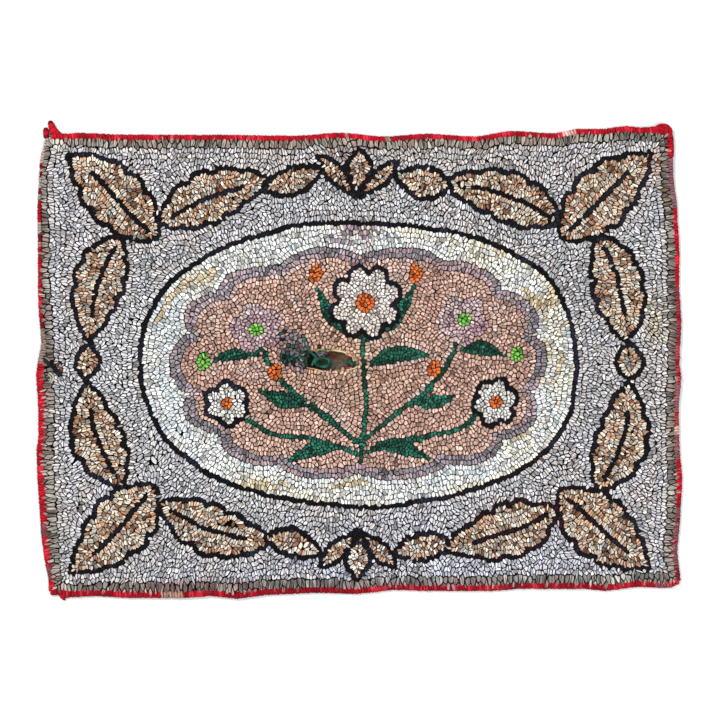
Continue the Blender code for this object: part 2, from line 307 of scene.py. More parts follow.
@lru_cache
def hookings():
    """Every kind of hooking by name, in the order of its label on the plan."""
    look = bpy.context.scene.rug_colours
    size = bpy.context.scene.rug_sizes
    ground = tinted(
        look.ground, (0.03, 0.03, 0.03), (0, 0, 0.02), (0.015, -0.004, -0.012), (-0.04, -0.04, -0.03)
    )
    border = tinted(look.border, (0, 0, 0), (0.09, 0.10, 0.10), (-0.09, -0.08, -0.07), (0.02, -0.01, -0.01))
    mottled = [CREAM] * 5 + [TAN] * 4 + [STONE] * 3 + [RUST] * 2 + [BROWN] * 3
    mottled += [(0.86, 0.70, 0.58), (0.50, 0.36, 0.29), (0.79, 0.80, 0.77)]
    sky = [PALE, (0.90, 0.93, 0.95), (0.95, 0.97, 0.95), PALE]
    sky += [(0.96, 0.94, 0.87), (0.93, 0.92, 0.89), STRAW]
    ring = [(0.66, 0.62, 0.66), (0.74, 0.66, 0.68), (0.59, 0.56, 0.59), (0.70, 0.60, 0.62)]
    field = tinted(look.field, (0, 0, 0), (0.03, 0.03, 0.03), (-0.04, -0.05, -0.05), (0.0, 0.03, 0.05))
    leaf = shades(look.leaf, 1.0, 1.25, 0.72)
    white = tinted(look.blossom, (0, 0, 0), (-0.04, -0.04, -0.05), (0.01, 0.01, 0.02))
    cream = [(0.94, 0.89, 0.86), (0.91, 0.86, 0.83), (0.96, 0.92, 0.90)]
    mauve = [(0.80, 0.68, 0.70), (0.74, 0.60, 0.64), (0.85, 0.76, 0.76)]
    ink = shades(look.outline, 1.0, 1.5, 0.9, 2.1)
    orange = [(0.95, 0.50, 0.25), (0.90, 0.45, 0.22)]
    lime = [(0.53, 0.80, 0.36), (0.45, 0.72, 0.32)]
    return {
        "ground": Hooking(0.0044, 0.0083, ground, 9, 0.055, 0.70),
        "border": Hooking(0.0050, size.border_long, border, 3, 0.0, 0.30),
        "outline": Hooking(0.0054, size.outline_wide, ink, 8, 0.0, 0.30),
        "mottled": Hooking(0.0037, 0.0078, mottled, 1.25, 0.0, 0.40),
        "sky": Hooking(0.0051, 0.0076, sky, 4, 0.045, 0.40),
        "ring": Hooking(0.0052, 0.0076, ring, 4, 0.03, 0.35),
        "field": Hooking(0.0054, 0.0068, field, 12, 0.05, 0.45),
        "leaf": Hooking(0.0043, 0.0056, leaf, 3, 0.0, 0.30),
        "white": Hooking(0.0046, 0.0058, white, 8, 0.0, 0.35),
        "cream": Hooking(0.0048, 0.0060, cream, 8, 0.0, 0.35),
        "mauve": Hooking(0.0050, 0.0064, mauve, 5, 0.0, 0.35),
        "orange": Hooking(0.0050, 0.0060, orange, 6, 0.0, 0.30),
        "lime": Hooking(0.0050, 0.0060, lime, 6, 0.0, 0.30),
    }


def label_of(fill):
    return list(hookings()).index(fill) + 1


def warped(points):
    """Points moved as an unsteady hand would draw them."""
    p = np.asarray(points, float)
    wide = np.column_stack([patchy(p[:, 0], p[:, 1], 0.085, 3), patchy(p[:, 0], p[:, 1], 0.085, 4)])
    fine = np.column_stack([patchy(p[:, 0], p[:, 1], 0.022, 5), patchy(p[:, 0], p[:, 1], 0.022, 6)])
    return p + 0.0050 * wide + 0.0014 * fine


def oval(centre, reach, square=2.0, count=180):
    """A closed oval; square above 2 makes its shoulders fuller."""
    t = np.linspace(0.0, 2 * math.pi, count, endpoint=False)
    x = np.sign(np.cos(t)) * np.abs(np.cos(t)) ** (2 / square)
    y = np.sign(np.sin(t)) * np.abs(np.sin(t)) ** (2 / square)
    return np.column_stack([centre[0] + reach[0] * x, centre[1] + reach[1] * y])


def scalloped(centre, reach, lobes, depth, square):
    """An oval whose edge is drawn in between rounded lobes."""
    loop = oval(centre, reach, square, 420)
    t = np.linspace(0.0, 2 * math.pi, len(loop), endpoint=False)
    draw_in = 1.0 - depth * (1.0 - np.abs(np.cos(lobes * t / 2)) ** 0.7)
    return np.asarray(centre) + (loop - np.asarray(centre)) * draw_in[:, None]


def leaf_rows(base, tip, bend, count, half_wide):
    """Rows of x, y and half width along a leaf that bends sideways, from base to tip."""
    base, tip = np.asarray(base, float), np.asarray(tip, float)
    ahead = tip - base
    side = np.array([-ahead[1], ahead[0]]) / np.linalg.norm(ahead)
    rows = []
    for t in np.linspace(0.0, 1.0, count):
        rows.append((*(base + ahead * t + side * bend * math.sin(math.pi * t)), half_wide(t)))
    return np.array(rows)


def both_sides(chain):
    """A closed shape on both sides of a curve of x, y and half width."""
    ahead = headings(chain[:, :2], False)
    out = np.column_stack([-ahead[:, 1], ahead[:, 0]]) * chain[:, 2:3]
    return np.vstack([chain[:, :2] + out, (chain[:, :2] - out)[::-1]])


# A leaf's least half width, where its ends would run out to nothing
LEAST_HALF = 0.0006


def leaf(base, tip, wide, bend=0.0, full=0.45):
    """A pointed leaf from its base to its tip; bend is sideways, full is its widest place."""
    power = math.log(0.5) / math.log(full)
    rows = leaf_rows(
        base, tip, bend, 9, lambda t: 0.5 * wide * max(math.sin(math.pi * t**power), 0.04)
    )
    chain = smooth_chain(rows)
    chain[:, 2] = np.maximum(chain[:, 2], LEAST_HALF)
    return both_sides(chain)


# The mottled leaves of one corner, drawn for the upper right: base, tip, width and sideways
# bend. The other corners turn them over.
CORNER_LEAVES = (
    ((0.296, 0.210), (0.128, 0.268), 0.080, -0.012),
    ((0.356, 0.184), (0.404, 0.028), 0.082, 0.012),
    ((0.140, 0.262), (0.052, 0.284), 0.042, 0.005),
    ((0.302, 0.184), (0.438, 0.306), 0.096, 0.004),
)
# The lower leaves lie a little lower; leaves wider than this have a vein, and this is its width
LOWER_DROP = -0.008
VEINED_WIDE = 0.05
VEIN_WIDE = 0.0062

# The three leaves of a palmette: how far its tips stand aside and drop, and their width; then
# where the upper and the lower one end and which way they grow, and how long they are
PALMETTE_TIPS = ((-0.056, 0.016, 0.026), (0.056, 0.016, 0.026), (0.0, 0.0, 0.036))
PALMETTES = ((0.318, -1.0), (-0.326, 1.0))
PALMETTE_LONG = 0.072

MEDALLION_MIDDLE = (0.002, -0.005)

# Rounded lobes along each side of a broad leaf, and the stretch of its middle that is its vein
LOBES = 5
VEIN = slice(4, 31)


def lobed_leaf(base, tip, wide, bend):
    """A broad leaf with rounded lobes along both sides, and its vein."""

    def half_wide(t):
        swell = math.sin(math.pi * t**0.84) ** 0.8
        lobe = 0.80 + 0.20 * abs(math.sin(math.pi * (LOBES * t + 0.25))) ** 0.6
        return 0.5 * wide * max(swell * lobe, 0.03)

    chain = leaf_rows(base, tip, bend, 41, half_wide)
    return both_sides(chain), chain[VEIN, :2]


def leaf_shapes():
    """The mottled leaves in the corners, and a small palmette above and below."""
    layers = []
    for flip_x in (1.0, -1.0):
        for flip_y in (1.0, -1.0):
            flip = np.array([flip_x, flip_y])
            drop = np.array([0.0, 0.0 if flip_y > 0 else LOWER_DROP])
            for base, tip, wide, bend in CORNER_LEAVES:
                loop, vein = lobed_leaf(base, tip, wide, bend)
                layers.append(Shape("mottled", True, loop * flip + drop))
                if wide > VEINED_WIDE:
                    layers.append(Stem("outline", VEIN_WIDE, vein * flip + drop))
        bud = oval((0.405 * flip_x, -0.004), (0.019, 0.027), 1.5, 60)
        layers.append(Shape("mottled", True, bud))
    for top, inward in PALMETTES:
        root = (0.0, top + inward * PALMETTE_LONG)
        for tip_x, drop, wide in PALMETTE_TIPS:
            tip = (tip_x, top + inward * drop)
            layers.append(Shape("mottled", True, leaf(root, tip, wide, full=0.62)))
    return layers


def medallion_shapes():
    """The oval in the middle: a pale mottled band, a mauve row and a peach field."""
    return [
        Shape("sky", True, oval(MEDALLION_MIDDLE, (0.326, 0.212), 2.3)),
        Shape("ring", False, scalloped(MEDALLION_MIDDLE, (0.284, 0.176), 14, 0.075, 2.3)),
        Shape("field", False, scalloped(MEDALLION_MIDDLE, (0.267, 0.160), 14, 0.080, 2.3)),
    ]


def flower(centre, reach, lobes, turn, outlined, fill, heart_fill):
    """A flower seen from above: lobed petals round a small heart."""
    t = np.linspace(0.0, 2 * math.pi, 200, endpoint=False)
    r = reach * (0.74 + 0.26 * np.abs(np.cos(lobes * (t - turn) / 2)) ** 0.75)
    petals = np.column_stack([centre[0] + r * np.cos(t), centre[1] + r * np.sin(t)])
    heart = oval(centre, (0.27 * reach, 0.27 * reach), 2.0, 40)
    return [Shape(fill, outlined, petals), Shape(heart_fill, False, heart)]


# Stems of the spray, each from its foot up
STEMS = (
    ((0.004, -0.150), (0.012, -0.070), (0.007, -0.004), (0.012, 0.050)),
    ((0.008, -0.124), (0.060, -0.078), (0.116, -0.030), (0.152, 0.026)),
    ((0.000, -0.124), (-0.052, -0.084), (-0.110, -0.042), (-0.150, 0.018)),
    ((0.006, -0.140), (0.074, -0.118), (0.140, -0.104), (0.188, -0.072)),
    ((0.002, -0.140), (-0.066, -0.118), (-0.134, -0.108), (-0.184, -0.078)),
)

# Leaves of the spray: base, tip, width and sideways bend
LEAVES = (
    ((0.014, -0.006), (0.104, 0.006), 0.024, 0.010),
    ((0.002, -0.004), (-0.120, -0.002), 0.030, -0.006),
    ((0.080, -0.056), (0.146, -0.050), 0.020, -0.008),
    ((-0.074, -0.062), (-0.150, -0.046), 0.022, 0.008),
    ((0.030, -0.128), (0.110, -0.148), 0.022, 0.006),
    ((-0.024, -0.128), (-0.108, -0.150), 0.022, -0.006),
    ((0.152, 0.014), (0.222, 0.006), 0.020, 0.006),
    ((-0.150, 0.008), (-0.220, 0.000), 0.020, -0.006),
    ((0.014, 0.030), (0.086, 0.112), 0.020, -0.010),
    ((0.008, 0.034), (-0.066, 0.112), 0.020, 0.010),
)

# Buds and flowers of the spray: fill and middle of a bud, and the reach of all buds; then
# middle, reach, petals and turn of a flower, whether it is outlined, its fill and its heart's
BUDS = (
    ("orange", 0.088, 0.128),
    ("orange", -0.070, 0.130),
    ("orange", 0.112, -0.014),
    ("orange", -0.126, -0.020),
    ("lime", 0.238, 0.008),
    ("lime", -0.234, 0.000),
)
BUD_REACH = (0.0105, 0.0135)
FLOWERS = (
    ((0.012, 0.088), 0.056, 8, 0.3, True, "cream", "orange"),
    ((0.160, 0.058), 0.040, 5, 0.9, False, "mauve", "lime"),
    ((-0.158, 0.050), 0.041, 5, 0.6, False, "mauve", "lime"),
    ((0.206, -0.060), 0.034, 6, 0.2, True, "white", "orange"),
    ((-0.200, -0.066), 0.034, 6, 0.5, True, "white", "orange"),
)
STEM_WIDE = 0.0074


def spray():
    """The flowers and leaves on the peach field: stems, then shapes in the order of hooking."""
    stems = [Stem("leaf", STEM_WIDE, smooth_chain(points)) for points in STEMS]
    shapes = [Shape("leaf", False, leaf(*sizes)) for sizes in LEAVES]
    for sizes in FLOWERS:
        shapes += flower(*sizes)
    shapes += [Shape(fill, False, oval((x, y), BUD_REACH, 2.0, 30)) for fill, x, y in BUDS]
    return stems, shapes


# ---------------------------------------------------------------- the hooking plan


Plan = namedtuple("Plan", "x y step labels depth single_rows")


def near_chain(points, chain, closed, within):
    """Which of many points lie within a distance of a chain of points."""
    line = even(chain, within * 0.25, closed)
    tree = tree_over(line)
    found = np.zeros(len(points), bool)
    low, high = line.min(0) - within, line.max(0) + within
    for i in np.nonzero(((points > low) & (points < high)).all(1))[0]:
        found[i] = tree.find((points[i, 0], points[i, 1], 0.0))[2] < within
    return found


def cell_depth(labels, step, reach=0.10):
    """How far each cell lies inside the area of its own label."""
    far = 1e6
    count_x = labels.shape[1]
    column = np.arange(count_x)

    def from_left(grid):
        new = np.zeros(grid.shape, bool)
        new[:, 1:] = grid[:, 1:] != grid[:, :-1]
        return column - np.maximum.accumulate(np.where(new, column, -far), axis=1) + 1

    along = np.minimum(from_left(labels), from_left(labels[:, ::-1])[:, ::-1]) ** 2.0
    best = along.copy()
    for k in range(1, int(reach / step)):
        same = labels[k:] == labels[:-k]
        best[k:] = np.minimum(best[k:], np.where(same, along[:-k], 0.0) + k * k)
        best[:-k] = np.minimum(best[:-k], np.where(same, along[k:], 0.0) + k * k)
    depth = np.sqrt(best) - 0.5
    for _ in range(3):
        wide = np.pad(depth, 1, mode="edge")
        depth = (
            2 * depth + wide[:-2, 1:-1] + wide[2:, 1:-1] + wide[1:-1, :-2] + wide[1:-1, 2:]
        ) / 6
    return depth * step


def contours(plan, field, level):
    """The chains of points where a field on the plan's cells passes a level."""
    known = np.isfinite(field)
    value = np.where(known, field, 0.0)
    high = value > level
    rows, cols = field.shape
    level_way = known[:, :-1] & known[:, 1:] & (high[:, :-1] != high[:, 1:])
    upright = known[:-1] & known[1:] & (high[:-1] != high[1:])
    first = rows * (cols - 1)
    level_ids = np.arange(first).reshape(rows, cols - 1)
    upright_ids = first + np.arange((rows - 1) * cols).reshape(rows - 1, cols)
    crossed = [level_way[:-1], upright[:, 1:], level_way[1:], upright[:, :-1]]
    ids = [level_ids[:-1], upright_ids[:, 1:], level_ids[1:], upright_ids[:, :-1]]
    many = sum(c.astype(int) for c in crossed)
    pairs = []
    for a, b in ((0, 1), (0, 2), (0, 3), (1, 2), (1, 3), (2, 3)):
        both = crossed[a] & crossed[b] & ((many == 2) | ((many == 4) & ((a, b) in ((0, 1), (2, 3)))))
        pairs.append(np.column_stack([ids[a][both], ids[b][both]]))
    ways = linked(np.vstack(pairs).tolist())

    def place(k):
        upward = k >= first
        r, c = divmod(k - first, cols) if upward else divmod(k, cols - 1)
        r2, c2 = (r + 1, c) if upward else (r, c + 1)
        t = (level - value[r, c]) / (value[r2, c2] - value[r, c])
        return (
            plan.x[c] + (plan.x[c2] - plan.x[c]) * t,
            plan.y[r] + (plan.y[r2] - plan.y[r]) * t,
        )

    ends = [k for k, others in ways.items() if len(others) == 1]
    chains = []
    for start in [*ends, *ways]:
        if start in ways:
            closed = len(ways[start]) == 2
            chain = [place(k) for k in followed(ways, start)]
            if len(chain) > 2:
                chains.append((np.array(chain), closed))
    return chains


def hem_inset(x, y):
    """How far the whipped edge covers the rim of the pile, by its side: hardly at the upper left."""
    side = np.interp(x, (-0.43, 0.43, 0.46), (0.0005, 0.0005, 0.0004)) + np.where(y < 0, 0.0007, 0.0)
    left = np.interp(y, (-0.001, 0.014, 0.230, 0.270), (0.0034, 0.0036, 0.0032, 0.0005))
    return side + (left - side) * np.interp(x, (-0.46, -0.43), (1.0, 0.0))


# How far the border row reaches in at the left: y, and its reach
LEFT_BORDER = (
    (-0.060, 0.0147),
    (0.000, 0.0128),
    (0.046, 0.0122),
    (0.075, 0.0120),
    (0.105, 0.0116),
    (0.145, 0.0104),
    (0.218, 0.0106),
    (0.256, 0.0096),
    (0.300, 0.0076),
)


def border_reach(x, y):
    """How far the border row reaches in from the whipped edge, by its side."""
    long = bpy.context.scene.rug_sizes.border_long
    left = np.interp(y, *zip(*LEFT_BORDER))
    return long + (left - long) * np.interp(x, (-0.452, -0.436), (1.0, 0.0))


# The dark row that is hooked across the border at the left, and half its width
STRAY_ROW = (
    (-0.4745, 0.0036),
    (-0.4690, -0.0020),
    (-0.4630, -0.0080),
    (-0.4570, -0.0135),
    (-0.4510, -0.0195),
)
STRAY_HALF = 0.0046


@lru_cache
def hooking_plan():
    """The design painted on small cells, with the depth of each cell in its own area."""
    size = bpy.context.scene.rug_sizes
    step = size.plan_step
    rim = rim_loops("hooked_pile")[0]
    low, high = rim.min(0) - 4 * step, rim.max(0) + 4 * step
    x, y = np.arange(low[0], high[0], step), np.arange(low[1], high[1], step)
    grid_x, grid_y = np.meshgrid(x, y)
    points = np.column_stack([grid_x.ravel(), grid_y.ravel()])
    drawn = warped(points)
    body = in_loop(points, rim)
    labels = np.where(body, label_of("ground"), 0)
    half = size.outline_wide / 2
    singles = []
    stems, flowers = spray()
    layers = [*leaf_shapes(), *medallion_shapes(), *stems, *flowers]
    for layer in layers:
        if isinstance(layer, Stem):
            band = near_chain(drawn, layer.chain, False, layer.wide / 2)
            labels[band & body] = label_of(layer.fill)
            singles.append((layer.fill, layer.chain, False))
            continue
        inside = in_loop(drawn, layer.loop)
        labels[inside & body] = label_of(layer.fill)
        if layer.outlined:
            band = near_chain(drawn, layer.loop, True, half)
            labels[band & body] = label_of("outline")
            singles.append(("outline", layer.loop, True))
    edge = cell_depth(body.reshape(grid_x.shape).astype(int), step, 0.024)
    edge = edge - hem_inset(grid_x, grid_y)
    labels = labels.reshape(grid_x.shape)
    labels[edge < np.where(grid_x < -0.45, -0.0004, -0.0005)] = 0
    depth = border_reach(grid_x, grid_y)
    labels[(edge < depth) & (labels > 0)] = label_of("border")
    singles = [(fill, unwarped(chain), closed) for fill, chain, closed in singles]
    stray = smooth_chain(STRAY_ROW)
    band = near_chain(points, stray, False, STRAY_HALF).reshape(labels.shape)
    labels[band & (labels > 0)] = label_of("outline")
    singles.append(("outline", stray, False))
    plan = Plan(x, y, step, labels, None, None)
    inset = np.where(labels > 0, edge / depth, np.nan)
    for chain, closed in contours(plan, inset, 0.5):
        singles.append(("border", chain, closed))
    return plan._replace(depth=cell_depth(labels, step), single_rows=singles)


def unwarped(points):
    """Where points of the drawing come to lie on the rug."""
    target = np.asarray(points, float)[:, :2]
    guess = target.copy()
    for _ in range(6):
        guess += target - warped(guess)
    return guess


def label_at(plan, places):
    """The label of the cell at each of many places."""
    return plan.labels[cell_of(plan, places[..., 0], places[..., 1])]


def cell_of(plan, x, y):
    """The row and column of the cell at each of many places."""
    col = np.clip(np.rint((np.asarray(x) - plan.x[0]) / plan.step).astype(int), 0, len(plan.x) - 1)
    row = np.clip(np.rint((np.asarray(y) - plan.y[0]) / plan.step).astype(int), 0, len(plan.y) - 1)
    return row, col


# How near the next loop may come, as a share of the spacing: in the single rows, in the rows
# that fill an area, and where the gaps are filled; and what a loop covers of the bare cloth
SINGLE_LIMIT = 0.70
ROW_LIMIT = 0.74
GAP_LIMIT = 0.76
COVER_REACH = 0.011
COVER = 0.62


class Rows:
    """The loops that are hooked so far, with a quick test of what is already taken."""

    CELL = 0.013

    def __init__(self):
        self.loops = []
        self.cells = {}

    def near(self, x, y):
        cx, cy = math.floor(x / self.CELL), math.floor(y / self.CELL)
        for i in (cx - 1, cx, cx + 1):
            for j in (cy - 1, cy, cy + 1):
                yield from self.cells.get((i, j), ())

    def is_free(self, x, y, tx, ty, pitch, row, limit):
        for k in self.near(x, y):
            ox, oy, ux, uy, opitch, orow = self.loops[k][:6]
            dx, dy = x - ox, y - oy
            mine = ((dx * tx + dy * ty) / pitch) ** 2 + ((dx * ty - dy * tx) / row) ** 2
            yours = ((dx * ux + dy * uy) / opitch) ** 2 + ((dx * uy - dy * ux) / orow) ** 2
            if mine + yours < 2 * limit * limit:
                return False
        return True

    def hook(self, x, y, tx, ty, pitch, row, label, strand):
        cell = (math.floor(x / self.CELL), math.floor(y / self.CELL))
        self.cells.setdefault(cell, []).append(len(self.loops))
        self.loops.append((x, y, tx, ty, pitch, row, label, strand))


def border_pitch(x, y):
    """How far apart the loops of the border row are: in patches, and widest at one corner."""
    wide = 1.36 + 0.36 * patchy(x, y, 0.045, 53)
    wide = wide + np.where(x < -0.45, 0.04, 0.0) + np.where((x > 0.33) & (y > 0.30), 0.22, 0.0)
    return hookings()["border"].pitch * np.clip(wide, 0.90, 1.75)


def stepped(line, steps):
    """Which places of a finely spaced chain lie a step of their own from the last."""
    gap = np.linalg.norm(np.diff(line, axis=0, prepend=line[:1]), axis=1)
    return np.nonzero(np.diff(np.floor(np.cumsum(gap / steps)), prepend=-1.0) > 0)[0]


def hook_chain(rows, plan, chain, closed, fill, strand, limit, draw):
    """Hooks one row of loops along a chain, where the plan still has that fill."""
    kind = hookings()[fill]
    label = label_of(fill)
    line = even(chain, kind.pitch, closed)
    pitch = np.full(len(line), kind.pitch)
    if fill == "border":
        line = even(chain, kind.pitch / 8, closed)
        pitch = border_pitch(line[:, 0], line[:, 1])
        picked = stepped(line, pitch)
        line, pitch = line[picked], pitch[picked]
    ahead = headings(line, closed) if len(line) > 1 else np.array([(1.0, 0.0)])
    if not closed and len(line) < 3:
        line, ahead = line.mean(0)[None], ahead[:1]
    slip = draw.normal(0.0, 0.07 * kind.pitch, len(line))
    line = line + ahead * slip[:, None]
    found = label_at(plan, line) == label
    for (x, y), (tx, ty), wide, same in zip(line.tolist(), ahead.tolist(), pitch.tolist(), found):
        if same and rows.is_free(x, y, tx, ty, wide, kind.row, limit):
            rows.hook(x, y, tx, ty, wide, kind.row, label, strand)


def fill_gaps(rows, plan, draw):
    """Hooks single loops where the rows left the cloth bare."""
    made = np.array(rows.loops)
    bare = plan.labels > 0
    reach = int(math.ceil(COVER_REACH / plan.step))
    row0, col0 = cell_of(plan, made[:, 0], made[:, 1])
    for dr in range(-reach, reach + 1):
        for dc in range(-reach, reach + 1):
            r = np.clip(row0 + dr, 0, len(plan.y) - 1)
            c = np.clip(col0 + dc, 0, len(plan.x) - 1)
            dx, dy = plan.x[c] - made[:, 0], plan.y[r] - made[:, 1]
            along = (dx * made[:, 2] + dy * made[:, 3]) / made[:, 4]
            across = (dx * made[:, 3] - dy * made[:, 2]) / made[:, 5]
            covered = along**2 + across**2 < COVER**2
            bare[r[covered], c[covered]] = False
    slope_y, slope_x = np.gradient(plan.depth)
    cells = np.argwhere(bare)
    draw.shuffle(cells)
    names = list(hookings())
    for r, c in cells.tolist():
        fill = names[plan.labels[r, c] - 1]
        kind = hookings()[fill]
        tx, ty = -slope_y[r, c], slope_x[r, c]
        long = math.hypot(tx, ty)
        tx, ty = (tx / long, ty / long) if long > 1e-6 else (1.0, 0.0)
        x, y = float(plan.x[c]), float(plan.y[r])
        if rows.is_free(x, y, tx, ty, kind.pitch, kind.row, GAP_LIMIT):
            rows.hook(x, y, tx, ty, kind.pitch, kind.row, plan.labels[r, c], -1 - len(rows.loops))


# How crowded loops are eased apart: how far one heeds its neighbours, how many times they are
# eased, how hard, and how far at a time
CROWD_REACH = 0.014
CROWD_ROUNDS = 8
CROWD_PUSH = 0.34
CROWD_STEP = 0.0008


def settle(made, plan):
    """Eases crowded loops apart."""
    tree = tree_over(made[:, :2])
    pairs = []
    for i, (x, y) in enumerate(made[:, :2].tolist()):
        pairs += [(i, j) for _, j, _ in tree.find_range((x, y, 0.0), CROWD_REACH) if j > i]
    a, b = np.array(pairs).T
    place, ahead = made[:, :2].copy(), made[:, 2:4]
    pitch, row, label = made[:, 4], made[:, 5], made[:, 6]

    def apart():
        gap = place[b] - place[a]
        total = 0.0
        for k in (a, b):
            along = (gap * ahead[k]).sum(1) / pitch[k]
            across = (gap[:, 0] * ahead[k, 1] - gap[:, 1] * ahead[k, 0]) / row[k]
            total = total + along**2 + across**2
        return gap, np.sqrt(total / 2)

    for _ in range(CROWD_ROUNDS):
        gap, measure = apart()
        close = np.clip(1.0 - measure, 0.0, 0.5) / np.maximum(measure, 0.2) * CROWD_PUSH
        push = gap * close[:, None]
        shift = np.zeros_like(place)
        np.add.at(shift, a, -push)
        np.add.at(shift, b, push)
        moved = place + np.clip(shift, -CROWD_STEP, CROWD_STEP)
        stays = label_at(plan, moved) == label
        place = np.where(stays[:, None], moved, place)
    return place


# The packing of the loops: how many points there are round one, how many neighbours it is
# pressed against, the bare cloth left beside loops of its own kind, of another kind, along the
# border row and where the pile stands open, how far it may spread where nothing presses on it,
# and how square its corners are.
LOOP_SIDES = 8
NEIGHBOURS = 14
OWN_GAP = 0.00041
WIDE_GAPS = {"ground": 0.00051, "border": 0.00060, "mottled": 0.00038, "sky": 0.00026}
OTHER_GAP = 0.00050
BORDER_GAP = 0.00062
OPEN_GAP = 0.00090
MOST_SPREAD = 1.55
SQUARENESS = 24.0
MOST_LONG = 4.2

# Each of the points round a loop is turned a little toward a corner of its area: the turns that
# it tries, and how far each is favoured
CORNER_TURNS = ((0.0, 1.0), (0.14, 0.988), (-0.14, 0.988), (0.28, 0.950), (-0.28, 0.950))

# Creases in the pile where the rows stand apart: x, and y from and to
CREASES = (
    (-0.0280, 0.262, 0.319),
    (-0.0155, 0.254, 0.280),
    (-0.0510, 0.134, 0.182),
    (-0.0110, 0.146, 0.167),
)


def packed(place, turn, pitch, row, label, turns=CORNER_TURNS[:1]):
    """The ways out from each loop, and how far it reaches each way before it meets others."""
    tree = tree_over(place)
    near = np.array(
        [[j for _, j, _ in tree.find_n((x, y, 0.0), NEIGHBOURS + 1)][1:] for x, y in place.tolist()]
    )
    long_way = np.column_stack([np.cos(turn), np.sin(turn)])
    short_way = np.column_stack([-np.sin(turn), np.cos(turn)])
    metric = np.einsum("ci,cj->cij", long_way, long_way) / (row[:, None, None] / 2) ** 2
    metric += np.einsum("ci,cj->cij", short_way, short_way) / (pitch[:, None, None] / 2) ** 2
    gap = place[near] - place[:, None]
    mine = np.einsum("cij,cni,cnj->cn", metric, gap, gap)
    yours = np.einsum("cnij,cni,cnj->cn", metric[near], gap, gap)
    pull = np.einsum("cnij,cnj->cni", metric[near] + metric[:, None], gap)
    share = np.sqrt(yours) / (np.sqrt(mine) + np.sqrt(yours)) * (mine + yours)
    own_gap = np.full(len(place), OWN_GAP)
    for fill, wide in WIDE_GAPS.items():
        own_gap[label == label_of(fill)] = wide
    bare = np.where(label[near] == label[:, None], own_gap[:, None], OTHER_GAP)
    edge = label_of("border")
    bare = np.where((label[near] == edge) != (label == edge)[:, None], BORDER_GAP, bare)
    for x, low, high in CREASES:
        beside = (place[:, 1] > low) & (place[:, 1] < high) & (abs(place[:, 0] - x) < 0.012)
        side = np.where(beside, np.sign(place[:, 0] - x - 0.002 * np.sin(place[:, 1] * 190)), 0.0)
        bare = np.where(side[near] * side[:, None] < 0, OPEN_GAP, bare)
    best = None
    for shift, favour in turns:
        angle = np.arange(LOOP_SIDES) * 2 * math.pi / LOOP_SIDES + shift
        ways = long_way[:, None] * (np.cos(angle)[None] * row[:, None] / 2)[..., None]
        ways = ways + short_way[:, None] * (np.sin(angle)[None] * pitch[:, None] / 2)[..., None]
        own = np.linalg.norm(ways, axis=2)
        ways /= own[..., None]
        toward = np.maximum(np.einsum("cni,cki->cnk", pull, ways), 1e-6)
        far = np.maximum(share[..., None] / toward - bare[..., None], 0.0008)
        least = np.minimum(MOST_SPREAD * own, far.min(1))
        press = (MOST_SPREAD * own / least) ** -SQUARENESS + ((far / least[:, None]) ** -SQUARENESS).sum(1)
        reach = least * press ** (-1 / SQUARENESS)
        reach = np.minimum(reach, MOST_LONG * reach.min(1)[:, None])
        score = reach / own * favour
        if best is None:
            best = score, ways, reach
            continue
        better = score > best[0]
        best = (
            np.where(better, score, best[0]),
            np.where(better[..., None], ways, best[1]),
            np.where(better, reach, best[2]),
        )
    return best[1:]


def relaxed(place, turn, pitch, row, label, plan, rounds=2):
    """The places of the loops, each moved toward the middle of the area that it fills."""
    for number in range(rounds):
        ways, reach = packed(place, turn, pitch, row, label)
        rim = ways * reach[..., None]
        after = np.roll(rim, -1, axis=1)
        wedge = rim[..., 0] * after[..., 1] - rim[..., 1] * after[..., 0]
        middle = ((rim + after) * wedge[..., None]).sum(1) / (3 * wedge.sum(1)[:, None])
        moved = place + 0.8 * middle
        stays = label_at(plan, moved) == label
        if number:
            stays &= label != label_of("mottled")
        place = np.where(stays[:, None], moved, place)
    return place


def kept_in(plan, place, ways, reach):
    """The reach of the loops, drawn in wherever it would pass the rim of the pile."""
    for _ in range(8):
        tips = place[:, None] + ways * reach[..., None]
        reach = np.where(label_at(plan, tips) == 0, 0.92 * reach, reach)
    return reach


Loops = namedtuple("Loops", "x y turn ways reach label colour")


